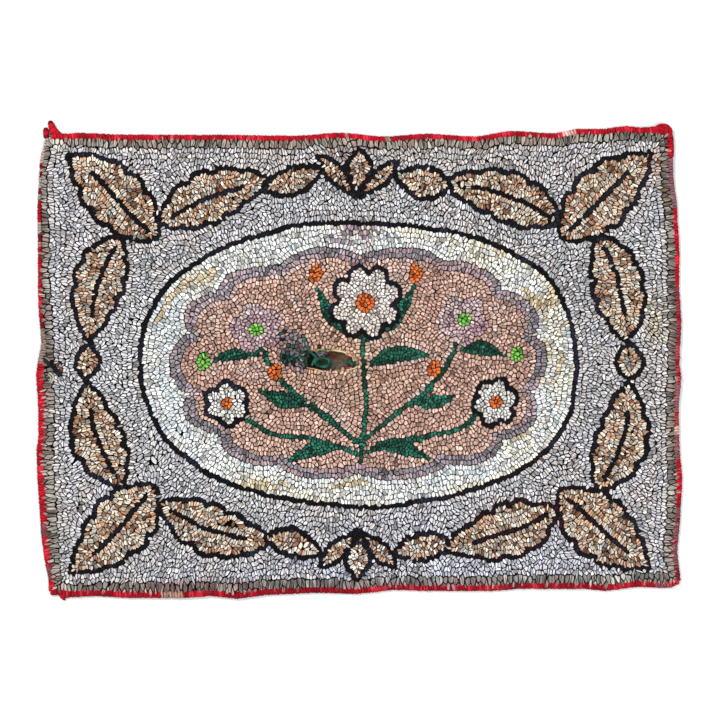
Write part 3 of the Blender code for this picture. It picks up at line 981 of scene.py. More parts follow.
@lru_cache
def hooked_loops():
    """Every loop of the pile: its place, turn, shape, area and colour."""
    size = bpy.context.scene.rug_sizes
    plan = hooking_plan()
    draw = np.random.default_rng(size.seed)
    rows = Rows()
    strand = 0
    for fill, chain, closed in plan.single_rows:
        hook_chain(rows, plan, chain, closed, fill, strand, SINGLE_LIMIT, draw)
        strand += 1
    grid_x, grid_y = np.meshgrid(plan.x, plan.y)
    stray = size.wander * patchy(grid_x, grid_y, 0.024, 21)
    stray += 4.0 * size.wander * patchy(grid_x, grid_y, 0.058, 22)
    for fill, kind in hookings().items():
        if fill in ("outline", "border"):
            continue
        own = plan.labels == label_of(fill)
        if not own.any():
            continue
        deep = eased((plan.depth - 0.006) / 0.03)
        field = np.where(own, (plan.depth + stray * deep) / kind.row, np.nan)
        level = 0.5
        while level < np.nanmax(field):
            for chain, closed in contours(plan, field, level):
                hook_chain(rows, plan, chain, closed, fill, strand, ROW_LIMIT, draw)
                strand += 1
            level += 1.0
    fill_gaps(rows, plan, draw)
    made = np.array(rows.loops)
    place = settle(made, plan)
    pitch, row, label = made[:, 4], made[:, 5], made[:, 6].astype(int)
    in_border = label == label_of("border")
    row = np.where(in_border, border_reach(*place.T), row)
    swing = np.array([0.0, *(kind.swing for kind in hookings().values())])[label]
    place += draw.normal(0.0, 0.0011, place.shape) * np.minimum(swing / 0.35, 1.0)[:, None]
    x, y = place.T
    size_now = draw.normal(1.0, 0.10, len(made))
    slimmer = np.exp(0.35 * swing * draw.normal(0.0, 1.0, len(made)))
    pitch = np.where(in_border, pitch * np.exp(0.20 * patchy(x, y, 0.006, 51)), pitch)
    row = np.where(in_border, row * np.exp(0.16 * patchy(x, y, 0.008, 54)), row)
    astray = 1.15 * patchy(x, y, 0.042, 41) + 0.7 * patchy(x, y, 0.015, 42)
    turn = np.arctan2(made[:, 3], made[:, 2]) + math.pi / 2
    turn = turn + swing * (astray + draw.normal(0.0, 0.40, len(made)))
    pitch, row = pitch * size_now / slimmer, row * size_now * slimmer
    place = relaxed(place, turn, pitch, row, label, plan)
    ways, reach = packed(place, turn, pitch, row, label, CORNER_TURNS)
    reach = kept_in(plan, place, ways, reach)
    return Loops(*place.T, turn, ways, reach, label, strip_colours(made, draw))


# Places where other strips are mixed in: the kind of hooking, middle, reach, how many of the
# loops, and their colours as they look
Mend = namedtuple("Mend", "fill x y along across share colours")

# Dark strips of many colours, hooked in beside the tear
TANGLED = (
    (0.60, 0.56, 0.58),
    (0.50, 0.46, 0.48),
    (0.40, 0.36, 0.40),
    (0.66, 0.60, 0.60),
    (0.20, 0.42, 0.34),
    (0.18, 0.15, 0.18),
)

# Rosy strips at the top right corner
RAGGED = ((0.86, 0.74, 0.71), (0.60, 0.42, 0.38), (0.84, 0.78, 0.74))

MENDS = (
    Mend("outline", 0.270, -0.250, 0.130, 0.100, 1.10, ((0.17, 0.08, 0.13), (0.13, 0.06, 0.10))),
    Mend("ground", 0.447, 0.296, 0.013, 0.040, 0.75, RAGGED),
    Mend("ground", 0.446, 0.060, 0.018, 0.034, 0.80, ((0.88, 0.86, 0.81), (0.84, 0.81, 0.75))),
    Mend("border", 0.462, 0.256, 0.012, 0.042, 0.70, ((0.52, 0.44, 0.38), (0.46, 0.42, 0.38))),
    Mend("border", -0.468, -0.014, 0.014, 0.020, 0.60, ((0.58, 0.50, 0.46), (0.66, 0.62, 0.56))),
    Mend("ground", -0.446, -0.012, 0.009, 0.008, 0.80, ((0.56, 0.34, 0.27), (0.62, 0.42, 0.34))),
    Mend("ground", -0.012, 0.300, 0.030, 0.030, 0.70, ((0.66, 0.61, 0.64), (0.70, 0.62, 0.62))),
    Mend("ground", -0.042, 0.302, 0.012, 0.020, 0.60, ((0.84, 0.76, 0.72), (0.80, 0.74, 0.70))),
    Mend("sky", -0.010, 0.200, 0.045, 0.030, 0.60, ((0.66, 0.60, 0.64), (0.72, 0.66, 0.68))),
    Mend("field", -0.095, 0.014, 0.028, 0.032, 1.30, TANGLED),
)


def strip_colours(made, draw):
    """The colour of each loop: strips of cloth that run for a few loops, in their patches."""
    names = list(hookings())
    colours = np.zeros((len(made), 3))
    at_hand = {}
    patches = {}
    x, y = made[:, 0], made[:, 1]
    for fill, kind in hookings().items():
        if kind.patch:
            patches[fill] = patchy(x, y, kind.patch, 31) + 0.5 * patchy(x, y, kind.patch / 3, 32)
    for i, (label, strand) in enumerate(made[:, 6:8].astype(int).tolist()):
        kind = hookings()[names[label - 1]]
        held = at_hand.get((label, strand))
        if held is None or draw.random() < 1.0 / kind.run:
            if names[label - 1] in patches:
                spot = 0.5 + 0.42 * patches[names[label - 1]][i] + draw.normal(0.0, 0.10)
                held = int(np.clip(spot, 0.0, 0.999) * len(kind.colours))
            else:
                held = int(draw.integers(len(kind.colours)))
            at_hand[(label, strand)] = held
        colours[i] = kind.colours[held]
    for mend in MENDS:
        far = np.hypot((x - mend.x) / mend.along, (y - mend.y) / mend.across)
        chosen = (made[:, 6] == label_of(mend.fill)) & (draw.random(len(made)) < mend.share * (1.3 - far))
        colours[chosen] = np.array(mend.colours)[draw.integers(len(mend.colours), size=chosen.sum())]
    return colours


# ---------------------------------------------------------------- meshes


def new_piece(name, points, quads, tris=(), replaces=(), material=None, crisp=False):
    """A mesh piece that rides on the rug's body, smooth but for its triangles if it is crisp."""
    mesh = bpy.data.meshes.new(name)
    quads = np.asarray(quads, np.int32).reshape(-1, 4)
    tris = np.asarray(tris, np.int32).reshape(-1, 3)
    corners = np.concatenate([quads.ravel(), tris.ravel()])
    starts = np.concatenate([np.arange(len(quads)) * 4, len(quads) * 4 + np.arange(len(tris)) * 3])
    mesh.vertices.add(len(points))
    mesh.vertices.foreach_set("co", np.asarray(points, np.float32).ravel())
    mesh.loops.add(len(corners))
    mesh.loops.foreach_set("vertex_index", corners)
    mesh.polygons.add(len(starts))
    mesh.polygons.foreach_set("loop_start", starts.astype(np.int32))
    mesh.polygons.foreach_set("use_smooth", np.arange(len(starts)) < (len(quads) if crisp else len(starts)))
    mesh.update(calc_edges=True)
    piece = bpy.data.objects.new(name, mesh)
    bpy.context.scene.collection.objects.link(piece)
    if material is not None:
        mesh.materials.append(material)
    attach(piece, BODY)
    if replaces:
        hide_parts(*replaces)
    return piece


def lay_out(piece, count, uvs):
    """Gives each of many like parts, made of the same points, its own cell of the UV map."""
    mesh = piece.data
    side = math.ceil(math.sqrt(count))
    which = np.arange(count)
    cell = np.column_stack([which % side, which // side])[:, None, :]
    places = ((cell + uvs[None]) / side).reshape(-1, 2)
    corner = np.zeros(len(mesh.loops), np.int32)
    mesh.loops.foreach_get("vertex_index", corner)
    layer = mesh.uv_layers.new(name="OFBake")
    layer.data.foreach_set("uv", places[corner].astype(np.float32).ravel())


def vectors_of(vertices, name):
    """One vector of each of the vertices, as rows."""
    found = np.zeros(len(vertices) * 3)
    vertices.foreach_get(name, found)
    return found.reshape(-1, 3)


def give(mesh, name, kind, field, values):
    """Gives each vertex a value under a name that the materials read."""
    layer = mesh.attributes.new(name, kind, "POINT")
    layer.data.foreach_set(field, np.asarray(values, np.float32).ravel())


def paint(mesh, colours, strands=None, alpha=1.0):
    """Gives each vertex its colour and its place along and across its own strand."""
    rgba = np.ones((len(mesh.vertices), 4))
    rgba[:, :3] = colours
    rgba[:, 3] = alpha
    give(mesh, "yarn_colour", "FLOAT_COLOR", "color", rgba)
    if strands is not None:
        give(mesh, "strand", "FLOAT_VECTOR", "vector", strands)


# One loop of the pile is a ring of points at its foot, its belly and its shoulder, and the two
# ends of the crease along its top: the share of its reach and of its height, its painted shading
# (painted shade between the loops, dark at the foot and belly, nearly full at the shoulder), and
# how far out the ring lies in its cell of the UV map.
LoopRing = namedtuple("LoopRing", "reach rise clean uv")

LOOP_RINGS = (
    LoopRing(0.92, 0.0, 0.03, 0.47),
    LoopRing(1.0, 0.60, 0.05, 0.40),
    LoopRing(0.87, 0.97, 0.97, 0.30),
)
CREASE_UV = 0.13
LOOP_POINTS = LOOP_SIDES * len(LOOP_RINGS) + 2


@lru_cache
def loop_faces():
    """The quads and triangles of one loop, and the place of its points in a UV cell."""
    side = LOOP_SIDES
    quads = []
    for ring in range(len(LOOP_RINGS) - 1):
        for k in range(side):
            n = (k + 1) % side
            low, high = ring * side, (ring + 1) * side
            quads.append((low + k, low + n, high + n, high + k))
    rim = (len(LOOP_RINGS) - 1) * side
    front, back = rim + side, rim + side + 1
    quarter = side // 4
    tris = [(rim + quarter, back, front), (rim + side - quarter, front, back)]
    for k in range(-quarter, quarter):
        tris.append((rim + k % side, rim + (k + 1) % side, front))
        j = k + side // 2
        tris.append((rim + j % side, rim + (j + 1) % side, back))
    angle = np.arange(side) * 2 * math.pi / side
    around = np.column_stack([np.cos(angle), np.sin(angle)])
    rings = [0.5 + ring.uv * around for ring in LOOP_RINGS]
    uvs = np.vstack([*rings, (0.5 + CREASE_UV, 0.5), (0.5 - CREASE_UV, 0.5)])
    return np.array(quads), np.array(tris), uvs


def loop_points(loops, pick, draw):
    """The points, colours and strand places of the picked loops."""
    x, y, ways, reach = loops.x[pick], loops.y[pick], loops.ways[pick], loops.reach[pick]
    count = len(x)
    foot = heights_on(("foundation",), x, y, BURLAP_TOP)
    top = heights_on(("hooked_pile",), x, y, PILE_TOP)
    high = top - foot + draw.normal(0.0002, 0.00040, count)
    lean = draw.normal(0.0, 0.00028, (count, 1, 2))
    tilt = draw.normal(0.0, 0.09, (count, 1, 2))
    deep = np.where(loops.label[pick] == label_of("border"), 0.14, 0.08)
    crease = np.clip(draw.normal(deep, 0.09, count), 0.0, 0.32)[:, None]
    aside = draw.uniform(-0.35, 0.35, count)
    flat = ways * reach[..., None]
    half, quarter = LOOP_SIDES // 2, LOOP_SIDES // 4
    left, right = flat[:, quarter], flat[:, half + quarter]
    over = np.where(aside[:, None] > 0, left * aside[:, None], -right * aside[:, None])
    ends = np.stack([flat[:, 0] * 0.50 + over, flat[:, half] * 0.50 + over], axis=1)
    parts = [(flat * ring.reach, np.full((count, 1), ring.rise), ring.clean) for ring in LOOP_RINGS]
    # The ends of the crease take painted shade along the crease, and a painted highlight on tops with
    # little crease
    parts.append((ends, 1.01 - crease, 1.08 - 2.3 * crease))
    points, clean = [], []
    for spread, rise, ring_painted_shading in parts:
        xy = spread + lean * rise[..., None]
        z = foot[:, None] + 0.0001 + rise * (high[:, None] + (xy * tilt).sum(2))
        points.append(np.dstack([x[:, None] + xy[..., 0], y[:, None] + xy[..., 1], z]))
        clean.append(np.broadcast_to(ring_painted_shading, z.shape))
    points, clean = np.concatenate(points, axis=1), np.concatenate(clean, axis=1)
    cos, sin = np.cos(loops.turn[pick])[:, None], np.sin(loops.turn[pick])[:, None]
    dx, dy = points[..., 0] - x[:, None], points[..., 1] - y[:, None]
    own = np.broadcast_to(draw.uniform(0, 9, count)[:, None], dx.shape)
    strands = np.stack([dx * cos + dy * sin, dy * cos - dx * sin, own], axis=-1)
    shade = np.clip(draw.normal(1.0, 0.06, count), 0.82, 1.12)[:, None]
    tone = loops.colour[pick][:, None, :] * shade[..., None] * stains(points[..., 0], points[..., 1])
    colours = linear(np.clip(tone, 0.0, 1.0)) * clean[..., None]
    return points.reshape(-1, 3), colours.reshape(-1, 3), strands.reshape(-1, 3)


# Old stains and fading of the pile: place, reach, and what is left of red, green and blue
Stain = namedtuple("Stain", "x y along across red green blue")

STAINS = (
    Stain(-0.006, 0.290, 0.038, 0.055, 0.86, 0.82, 0.84),
    Stain(-0.004, 0.190, 0.036, 0.040, 0.88, 0.84, 0.86),
    Stain(0.446, 0.290, 0.026, 0.060, 1.00, 0.94, 0.92),
    Stain(0.440, 0.070, 0.030, 0.060, 1.03, 1.00, 0.93),
    Stain(-0.466, -0.006, 0.024, 0.040, 0.82, 0.80, 0.78),
    Stain(-0.090, 0.010, 0.050, 0.034, 0.80, 0.78, 0.80),
    Stain(-0.010, 0.000, 0.130, 0.090, 0.97, 0.955, 0.90),
    Stain(0.100, -0.330, 0.620, 0.130, 0.99, 1.01, 1.05),
    Stain(0.000, 0.350, 0.600, 0.120, 1.00, 0.98, 0.955),
    Stain(0.474, 0.000, 0.014, 0.420, 0.78, 0.75, 0.74),
    Stain(-0.474, 0.100, 0.014, 0.300, 0.88, 0.86, 0.86),
    Stain(0.100, -0.334, 0.560, 0.014, 0.86, 0.825, 0.83),
    Stain(-0.260, -0.340, 0.220, 0.014, 0.90, 0.80, 0.80),
    Stain(-0.150, 0.322, 0.280, 0.012, 0.94, 0.94, 0.95),
    Stain(0.410, 0.336, 0.110, 0.014, 0.82, 0.82, 0.83),
)


def stains(x, y):
    """What is left of red, green and blue at each of many places."""
    left = np.ones((*np.shape(x), 3))
    for spot in STAINS:
        reach = np.hypot((x - spot.x) / spot.along, (y - spot.y) / spot.across)
        reach = reach + 0.25 * patchy(x, y, 0.03, 61)
        share = (1.0 - eased(reach))[..., None]
        left = left * (1 + share * (np.array(spot[4:]) - 1))
    return left


# ---------------------------------------------------------------- materials


def add_node(tree, kind, label, **values):
    """A shader node with some of its sockets set by name."""
    node = tree.nodes.new(kind)
    node.label = label
    for name, value in values.items():
        node.inputs[name.replace("_", " ")].default_value = value
    return node


def new_material(name, roughness, sheen, shine=0.12):
    """A cloth material, its tree and its shader."""
    material = bpy.data.materials.new(name)
    material.use_nodes = True
    tree = material.node_tree
    shader = tree.nodes["Principled BSDF"]
    shader.inputs["Roughness"].default_value = roughness
    shader.inputs["Specular IOR Level"].default_value = shine
    shader.inputs["Sheen Weight"].default_value = sheen
    shader.inputs["Sheen Roughness"].default_value = 0.45
    return material, tree, shader


def attribute_node(tree, name):
    """A node that reads a value of the vertices by its name."""
    node = add_node(tree, "ShaderNodeAttribute", name)
    node.attribute_name = name
    return node


def mix_node(tree, label, multiply=True):
    """A node that multiplies two colours, or mixes them."""
    node = add_node(tree, "ShaderNodeMix", label)
    node.data_type = "RGBA"
    if multiply:
        node.blend_type = "MULTIPLY"
        node.inputs["Factor"].default_value = 1.0
    return node


def wire(tree, *wires):
    """Links nodes: the output of one to the input of another, by name or number."""
    for source, output, target, socket in wires:
        tree.links.new(source.outputs[output], target.inputs[socket])


def streaky_yarn(name, roughness, sheen, along, across, depth, fibre):
    """Cloth coloured by its own strand, with streaks along it and fine fibres."""
    material, tree, shader = new_material(name, roughness, sheen)
    colour = attribute_node(tree, "yarn_colour")
    strand = attribute_node(tree, "strand")
    stretch = add_node(tree, "ShaderNodeMapping", "strand scale", Scale=(along, across, 1.0))
    streak = add_node(tree, "ShaderNodeTexNoise", "streaks", Scale=1.0, Detail=3.0, Roughness=0.6)
    strength = {"From_Min": 0.39, "From_Max": 0.57, "To_Min": 1.0 - depth, "To_Max": 1.0 + 0.35 * depth}
    span = add_node(tree, "ShaderNodeMapRange", "streak strength", **strength)
    mix = mix_node(tree, "streaked colour")
    place = add_node(tree, "ShaderNodeTexCoord", "place")
    fuzz = add_node(tree, "ShaderNodeTexNoise", "fibres", Scale=fibre, Detail=2.0, Roughness=0.7)
    soft = add_node(tree, "ShaderNodeBump", "fibre relief", Strength=0.35, Distance=0.0003)
    ridge = add_node(tree, "ShaderNodeBump", "strand relief", Strength=0.5, Distance=0.0004)
    wire(
        tree,
        (strand, "Vector", stretch, "Vector"),
        (stretch, "Vector", streak, "Vector"),
        (streak, "Fac", span, "Value"),
        (colour, "Color", mix, "A"),
        (span, "Result", mix, "B"),
        (mix, "Result", shader, "Base Color"),
        (place, "Object", fuzz, "Vector"),
        (fuzz, "Fac", soft, "Height"),
        (streak, "Fac", ridge, "Height"),
        (soft, "Normal", ridge, "Normal"),
        (ridge, "Normal", shader, "Normal"),
    )
    return material


# Sockets of the burlap's threads and of the backs of the rows hooked through it
THREADS = {"Scale": 142.0, "Distortion": 1.6, "Detail": 1.0, "Detail_Scale": 0.5}
ROW_BACKS = {
    "Scale": 1.0,
    "Mortar_Size": 0.0012,
    "Mortar_Smooth": 0.4,
    "Bias": 0.0,
    "Brick_Width": 0.0058,
    "Row_Height": 0.0044,
}


def burlap_cloth():
    """Coarse plain weave, with the backs of the hooked rows on its underside."""
    material, tree, shader = new_material("burlap", 0.93, 0.12)
    place = add_node(tree, "ShaderNodeTexCoord", "place")
    weave = add_node(tree, "ShaderNodeMath", "weave")
    weave.operation = "MAXIMUM"
    for socket, way in enumerate("XY"):
        wave = add_node(tree, "ShaderNodeTexWave", "threads " + way, **THREADS)
        wave.bands_direction = way
        wire(tree, (place, "Object", wave, "Vector"), (wave, "Fac", weave, socket))
    tone = add_node(tree, "ShaderNodeValToRGB", "thread tone")
    pale = linear(bpy.context.scene.rug_colours.burlap)
    for element, share in zip(tone.color_ramp.elements, (0.25, 1.0)):
        element.color = (*(pale * share), 1.0)
    # The burlap's top takes painted shade under the pile
    painted_shade_share = attribute_node(tree, "clean")
    shaded_threads = mix_node(tree, "dirty thread")
    colour = attribute_node(tree, "yarn_colour")
    rows = add_node(tree, "ShaderNodeTexBrick", "backs of the rows", **ROW_BACKS)
    under = add_node(tree, "ShaderNodeMath", "where the backs show")
    under.operation = "SUBTRACT"
    under.use_clamp = True
    mix = mix_node(tree, "threads or backs", multiply=False)
    relief = add_node(tree, "ShaderNodeBump", "weave relief", Strength=0.7, Distance=0.0005)
    wire(
        tree,
        (weave, 0, tone, "Fac"),
        (place, "Object", rows, "Vector"),
        (colour, "Alpha", under, 0),
        (rows, "Fac", under, 1),
        (under, 0, mix, "Factor"),
        (tone, "Color", shaded_threads, "A"),
        (painted_shade_share, "Fac", shaded_threads, "B"),
        (shaded_threads, "Result", mix, "A"),
        (colour, "Color", mix, "B"),
        (mix, "Result", shader, "Base Color"),
        (weave, 0, relief, "Height"),
        (relief, "Normal", shader, "Normal"),
    )
    return material


# ---------------------------------------------------------------- the pile


PILE_PIECES = (
    ("pile_ground_left", ("ground",), -1),
    ("pile_ground_right", ("ground",), 1),
    ("pile_border_row", ("border",), 0),
    ("pile_outlines", ("outline",), 0),
    ("pile_mottled_leaves", ("mottled",), 0),
    ("pile_medallion_band", ("sky", "ring"), 0),
    ("pile_field", ("field",), 0),
    ("pile_leaves", ("leaf",), 0),
    ("pile_flowers", ("white", "cream", "mauve", "orange", "lime"), 0),
)
MOST_LOOPS = 4500


class RUG_OT_hook_pile(bpy.types.Operator):
    """Hooks the pile, area by area"""

    bl_idname = "rug.hook_pile"
    bl_label = "Hook the pile"

    def execute(self, context):
        loops = hooked_loops()
        wool = streaky_yarn("hooked_wool", 0.92, 0.12, 60.0, 480.0, 0.66, 2400.0)
        coarse = streaky_yarn("border_wool", 0.92, 0.12, 50.0, 640.0, 0.82, 2400.0)
        quads, tris, uvs = loop_faces()
        hole = rim_loops("hooked_pile")[1]
        torn = in_loop(np.column_stack([loops.x, loops.y]), hole)
        for number, (name, fills, side) in enumerate(PILE_PIECES):
            own = np.isin(loops.label, [label_of(fill) for fill in fills]) & ~torn
            if side:
                own &= loops.x * side >= (0 if side > 0 else 1e-9)
            pick = np.nonzero(own)[0]
            if not 0 < len(pick) <= MOST_LOOPS:
                raise RuntimeError(f"{name} has {len(pick)} loops")
            draw = np.random.default_rng(context.scene.rug_sizes.seed + PILE_SEED + number)
            points, colours, strands = loop_points(loops, pick, draw)
            step = (np.arange(len(pick)) * LOOP_POINTS)[:, None, None]
            piece = new_piece(
                name,
                points,
                (quads[None] + step).reshape(-1, 4),
                (tris[None] + step).reshape(-1, 3),
                replaces=("hooked_pile",),
                material=coarse if name == "pile_border_row" else wool,
                crisp=True,
            )
            paint(piece.data, colours, strands)
            lay_out(piece, len(pick), uvs)
        return {"FINISHED"}


# ---------------------------------------------------------------- the foundation


class RUG_OT_lay_burlap(bpy.types.Operator):
    """Lays the burlap that the strips are hooked through"""

    bl_idname = "rug.lay_burlap"
    bl_label = "Lay the burlap"

    def execute(self, context):
        work = bmesh.new()
        work.from_mesh(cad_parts["foundation"].data)
        bmesh.ops.remove_doubles(work, verts=work.verts, dist=SAME_POINT)
        bmesh.ops.subdivide_edges(
            work,
            edges=[e for e in work.edges if e.calc_length() > 0.004],
            cuts=3,
            use_grid_fill=True,
        )
        bmesh.ops.triangulate(work, faces=[f for f in work.faces if len(f.verts) > 4])
        mesh = bpy.data.meshes.new("burlap_sheet")
        work.to_mesh(mesh)
        work.free()
        co = vectors_of(mesh.vertices, "co")
        below = vectors_of(mesh.vertices, "normal")[:, 2] < -0.5
        rough = 0.00025 * patchy(co[:, 0], co[:, 1], 0.006, 51)
        co[~below, 2] += rough[~below]
        mesh.vertices.foreach_set("co", co.astype(np.float32).ravel())
        piece = bpy.data.objects.new("burlap_sheet", mesh)
        context.scene.collection.objects.link(piece)
        mesh.materials.append(burlap_cloth())
        mesh.polygons.foreach_set("use_smooth", np.ones(len(mesh.polygons), bool))
        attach(piece, BODY)
        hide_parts("foundation")
        colours = [kind.colours[0] for kind in hookings().values()]
        palette = np.array([context.scene.rug_colours.burlap[:], *colours])
        under = label_at(hooking_plan(), co)
        paint(mesh, linear(palette[under]) * 0.8, alpha=np.where(below & (under > 0), 1.0, 0.0))
        rim, hole = rim_loops("foundation")[:2]
        lip = even(hole, 0.001, True)
        away = np.array([np.hypot(*(lip - place).T).min() for place in co[:, :2]])
        # Painted shade on the burlap's top: nearly black under the pile, lifted within a few millimetres of
        # the tear's lip, and darker still left of the tear's left end. The underside keeps its colour.
        clean = np.where(below, 1.0, 1.0 - 0.93 * eased((away - 0.003) / 0.006))
        clean *= np.where(below, 1.0, 0.15 + 0.85 * eased((co[:, 0] + 0.082) / 0.012))
        give(mesh, "clean", "FLOAT", "value", clean)
        area = abs(signed_area(rim)) - abs(signed_area(hole))
        return {"FINISHED"}


# ---------------------------------------------------------------- tubes and threads


def tube_faces(count, sides):
    """The quads along a closed strand, and the triangles over its two ends."""
    quads = []
    for i in range(count - 1):
        for k in range(sides):
            n = (k + 1) % sides
            quads.append([i * sides + k, i * sides + n, (i + 1) * sides + n, (i + 1) * sides + k])
    tris = []
    for end, flip in ((0, True), (count - 1, False)):
        first = end * sides
        for k in range(1, sides - 1):
            face = [first, first + k, first + k + 1]
            tris.append(face[::-1] if flip else face)
    return np.array(quads), np.array(tris)


def tube(path, across, up, sides=6, turns=0.0, wobble=0.0, seed=1):
    """Points, quads and strand places of a closed strand along a path of x, y, z rows.

    across and up are half widths at each point of the path; turns twists the strand.
    """
    p = np.asarray(path, float)
    count = len(p)
    across = np.broadcast_to(np.asarray(across, float), (count,))
    up = np.broadcast_to(np.asarray(up, float), (count,))
    ahead = np.gradient(p, axis=0)
    ahead /= np.maximum(np.linalg.norm(ahead, axis=1), 1e-9)[:, None]
    side = np.cross((0.0, 0.0, 1.0), ahead)
    side /= np.maximum(np.linalg.norm(side, axis=1), 1e-6)[:, None]
    over = np.cross(ahead, side)
    draw = np.random.default_rng(seed)
    angle = np.arange(sides) / sides * 2 * math.pi
    twist = np.linspace(0.0, turns * 2 * math.pi, count)
    points, strands = [], []
    along = np.concatenate([[0.0], np.cumsum(np.linalg.norm(np.diff(p, axis=0), axis=1))])
    for i in range(count):
        size = 1.0 + (draw.normal(0.0, wobble, sides) if wobble else np.zeros(sides))
        lean = side[i] * math.cos(twist[i]) + over[i] * math.sin(twist[i])
        rise = over[i] * math.cos(twist[i]) - side[i] * math.sin(twist[i])
        for a, k in zip(angle, size):
            points.append(p[i] + lean * math.cos(a) * across[i] * k + rise * math.sin(a) * up[i] * k)
            strands.append((along[i], a * across[i], seed))
    quads, tris = tube_faces(count, sides)
    return np.array(points), quads, tris, np.array(strands)


class Bundle:
    """Several strands gathered into one piece."""

    def __init__(self):
        self.points, self.quads, self.tris, self.colours, self.strands = [], [], [], [], []
        self.count = 0

    def add(self, made, colour):
        points, quads, tris, strands = made
        self.points.append(points)
        self.quads.append(quads + self.count)
        self.tris.append(tris + self.count)
        colour = np.asarray(colour, float)
        self.colours.append(np.broadcast_to(colour, points.shape))
        self.strands.append(strands)
        self.count += len(points)

    def piece(self, name, slot, material, replaces=()):
        made = new_piece(
            name,
            np.vstack(self.points),
            np.vstack(self.quads),
            np.vstack(self.tris),
            replaces=replaces,
            material=material,
        )
        paint(made.data, linear(np.clip(np.vstack(self.colours), 0, 1)), np.vstack(self.strands))
        return made


# ---------------------------------------------------------------- the edging


EDGING_NODES = ("edging_top", "edging_right", "edging_bottom", "edging_left")

# Faded, worn or darkened stretches of each run of the edging: from and to along it in x or y,
# the colour it has gone to as it looks, how far it has gone, and how much of it still shows
# spots of the red
Fade = namedtuple("Fade", "start end colour share spots", defaults=(0.0,))

DULL_RED = (0.46, 0.06, 0.12)
DIRTY_RED = (0.44, 0.28, 0.30)
BARE = (0.62, 0.61, 0.55)

FADES = {
    "edging_left": (
        Fade(-0.0040, 0.0480, (0.56, 0.52, 0.47), 0.96),
        Fade(0.0480, 0.0605, DULL_RED, 0.90),
        Fade(0.1716, 0.1791, (0.72, 0.50, 0.48), 0.90),
        Fade(0.1791, 0.1911, DULL_RED, 0.90),
        Fade(0.1911, 0.2076, BARE, 0.96),
        Fade(0.2406, 0.2511, BARE, 0.96),
        Fade(0.2511, 0.2586, DULL_RED, 0.90),
        Fade(0.2586, 0.2736, (0.66, 0.60, 0.55), 0.96),
        Fade(0.2736, 0.2826, DULL_RED, 0.90),
        Fade(0.2826, 0.2886, (0.72, 0.60, 0.56), 0.92),
        Fade(0.2886, 0.2961, DULL_RED, 0.90),
        Fade(0.2961, 0.3140, (0.70, 0.61, 0.56), 0.96),
        Fade(0.3140, 0.3460, (0.66, 0.65, 0.60), 0.97),
        Fade(-0.264, -0.245, DIRTY_RED, 0.75),
        Fade(-0.328, -0.306, DIRTY_RED, 0.75),
        Fade(-0.360, -0.343, (0.32, 0.30, 0.30), 0.90),
    ),
    "edging_right": (
        Fade(0.228, 0.309, (0.50, 0.35, 0.38), 0.95, 0.15),
        Fade(0.023, 0.110, (0.52, 0.26, 0.30), 0.80, 0.3),
        Fade(-0.038, 0.024, (0.70, 0.34, 0.36), 0.72, 0.35),
        Fade(-0.076, -0.036, (0.56, 0.40, 0.42), 0.85, 0.1),
        Fade(-0.098, -0.080, (0.62, 0.32, 0.27), 0.80),
        Fade(-0.111, -0.100, (0.84, 0.76, 0.68), 0.90),
        Fade(-0.150, -0.112, (0.56, 0.34, 0.38), 0.85, 0.1),
        Fade(-0.312, -0.216, (0.50, 0.30, 0.32), 0.94, 0.2),
        Fade(-0.327, -0.314, (0.40, 0.14, 0.18), 0.80),
    ),
    "edging_bottom": (
        Fade(0.443, 0.464, (0.58, 0.32, 0.36), 0.80),
        Fade(-0.300, -0.264, (0.70, 0.58, 0.50), 0.90, 0.2),
        Fade(-0.105, -0.020, (0.50, 0.04, 0.09), 0.62, 0.3),
        Fade(0.210, 0.244, (0.52, 0.10, 0.14), 0.62, 0.3),
    ),
    "edging_top": (
        Fade(0.305, 0.325, (0.94, 0.74, 0.72), 0.90, 0.1),
        Fade(0.040, 0.047, (0.56, 0.56, 0.49), 0.98),
    ),
}

# The loose ends of the runs that stand out past the top left corner: x, y, width, rise
HORN = (
    (-0.4380, 0.3368, 0.0090, 0.0036),
    (-0.4460, 0.3366, 0.0094, 0.0038),
    (-0.4520, 0.3384, 0.0118, 0.0042),
    (-0.4572, 0.3426, 0.0132, 0.0044),
    (-0.4608, 0.3490, 0.0110, 0.0042),
    (-0.4632, 0.3558, 0.0096, 0.0040),
    (-0.4641, 0.3596, 0.0060, 0.0030),
)
KNOB = (
    (-0.4696, 0.3336, 0.0062, 0.0032),
    (-0.4700, 0.3368, 0.0092, 0.0040),
    (-0.4702, 0.3412, 0.0092, 0.0042),
    (-0.4704, 0.3458, 0.0094, 0.0040),
    (-0.4706, 0.3492, 0.0058, 0.0032),
)
# The yarn wound thick down the right run from the top right corner
COLUMN = (
    (0.4655, 0.3415, 0.0094, 0.0040),
    (0.4671, 0.3340, 0.0106, 0.0042),
    (0.4676, 0.3250, 0.0104, 0.0042),
    (0.4682, 0.3150, 0.0098, 0.0040),
    (0.4696, 0.3060, 0.0070, 0.0036),
)
# The loose tag of the bottom run near the bottom left corner
TAG = (
    (-0.4482, -0.3506, 0.0070, 0.0032),
    (-0.4464, -0.3538, 0.0082, 0.0034),
    (-0.4444, -0.3572, 0.0060, 0.0028),
    (-0.4424, -0.3602, 0.0018, 0.0014),
)
# The loose end of each run, and the tints of the turns of yarn wound round it
LOOSE_ENDS = {
    "edging_top": (HORN, (1.0, 0.86, 0.98, 1.08, 1.02, 0.60)),
    "edging_left": (KNOB, (0.64, 0.98, 0.68)),
    "edging_bottom": (TAG, (0.92, 1.0, 0.80)),
    "edging_right": (COLUMN, (0.82, 1.0, 0.66, 1.04, 0.72, 0.98, 0.62, 0.90)),
}
# Where the whip stitches of the top run begin, beside the foot of its loose end
HORN_FOOT = -0.4590
# The yarn bunched over the top right corner: strands from the middle out, with their reach
BUNCH_MIDDLE = (0.4555, 0.3425)
BUNCH_REACH = (0.0028, 0.0058, 0.0088, 0.0116)


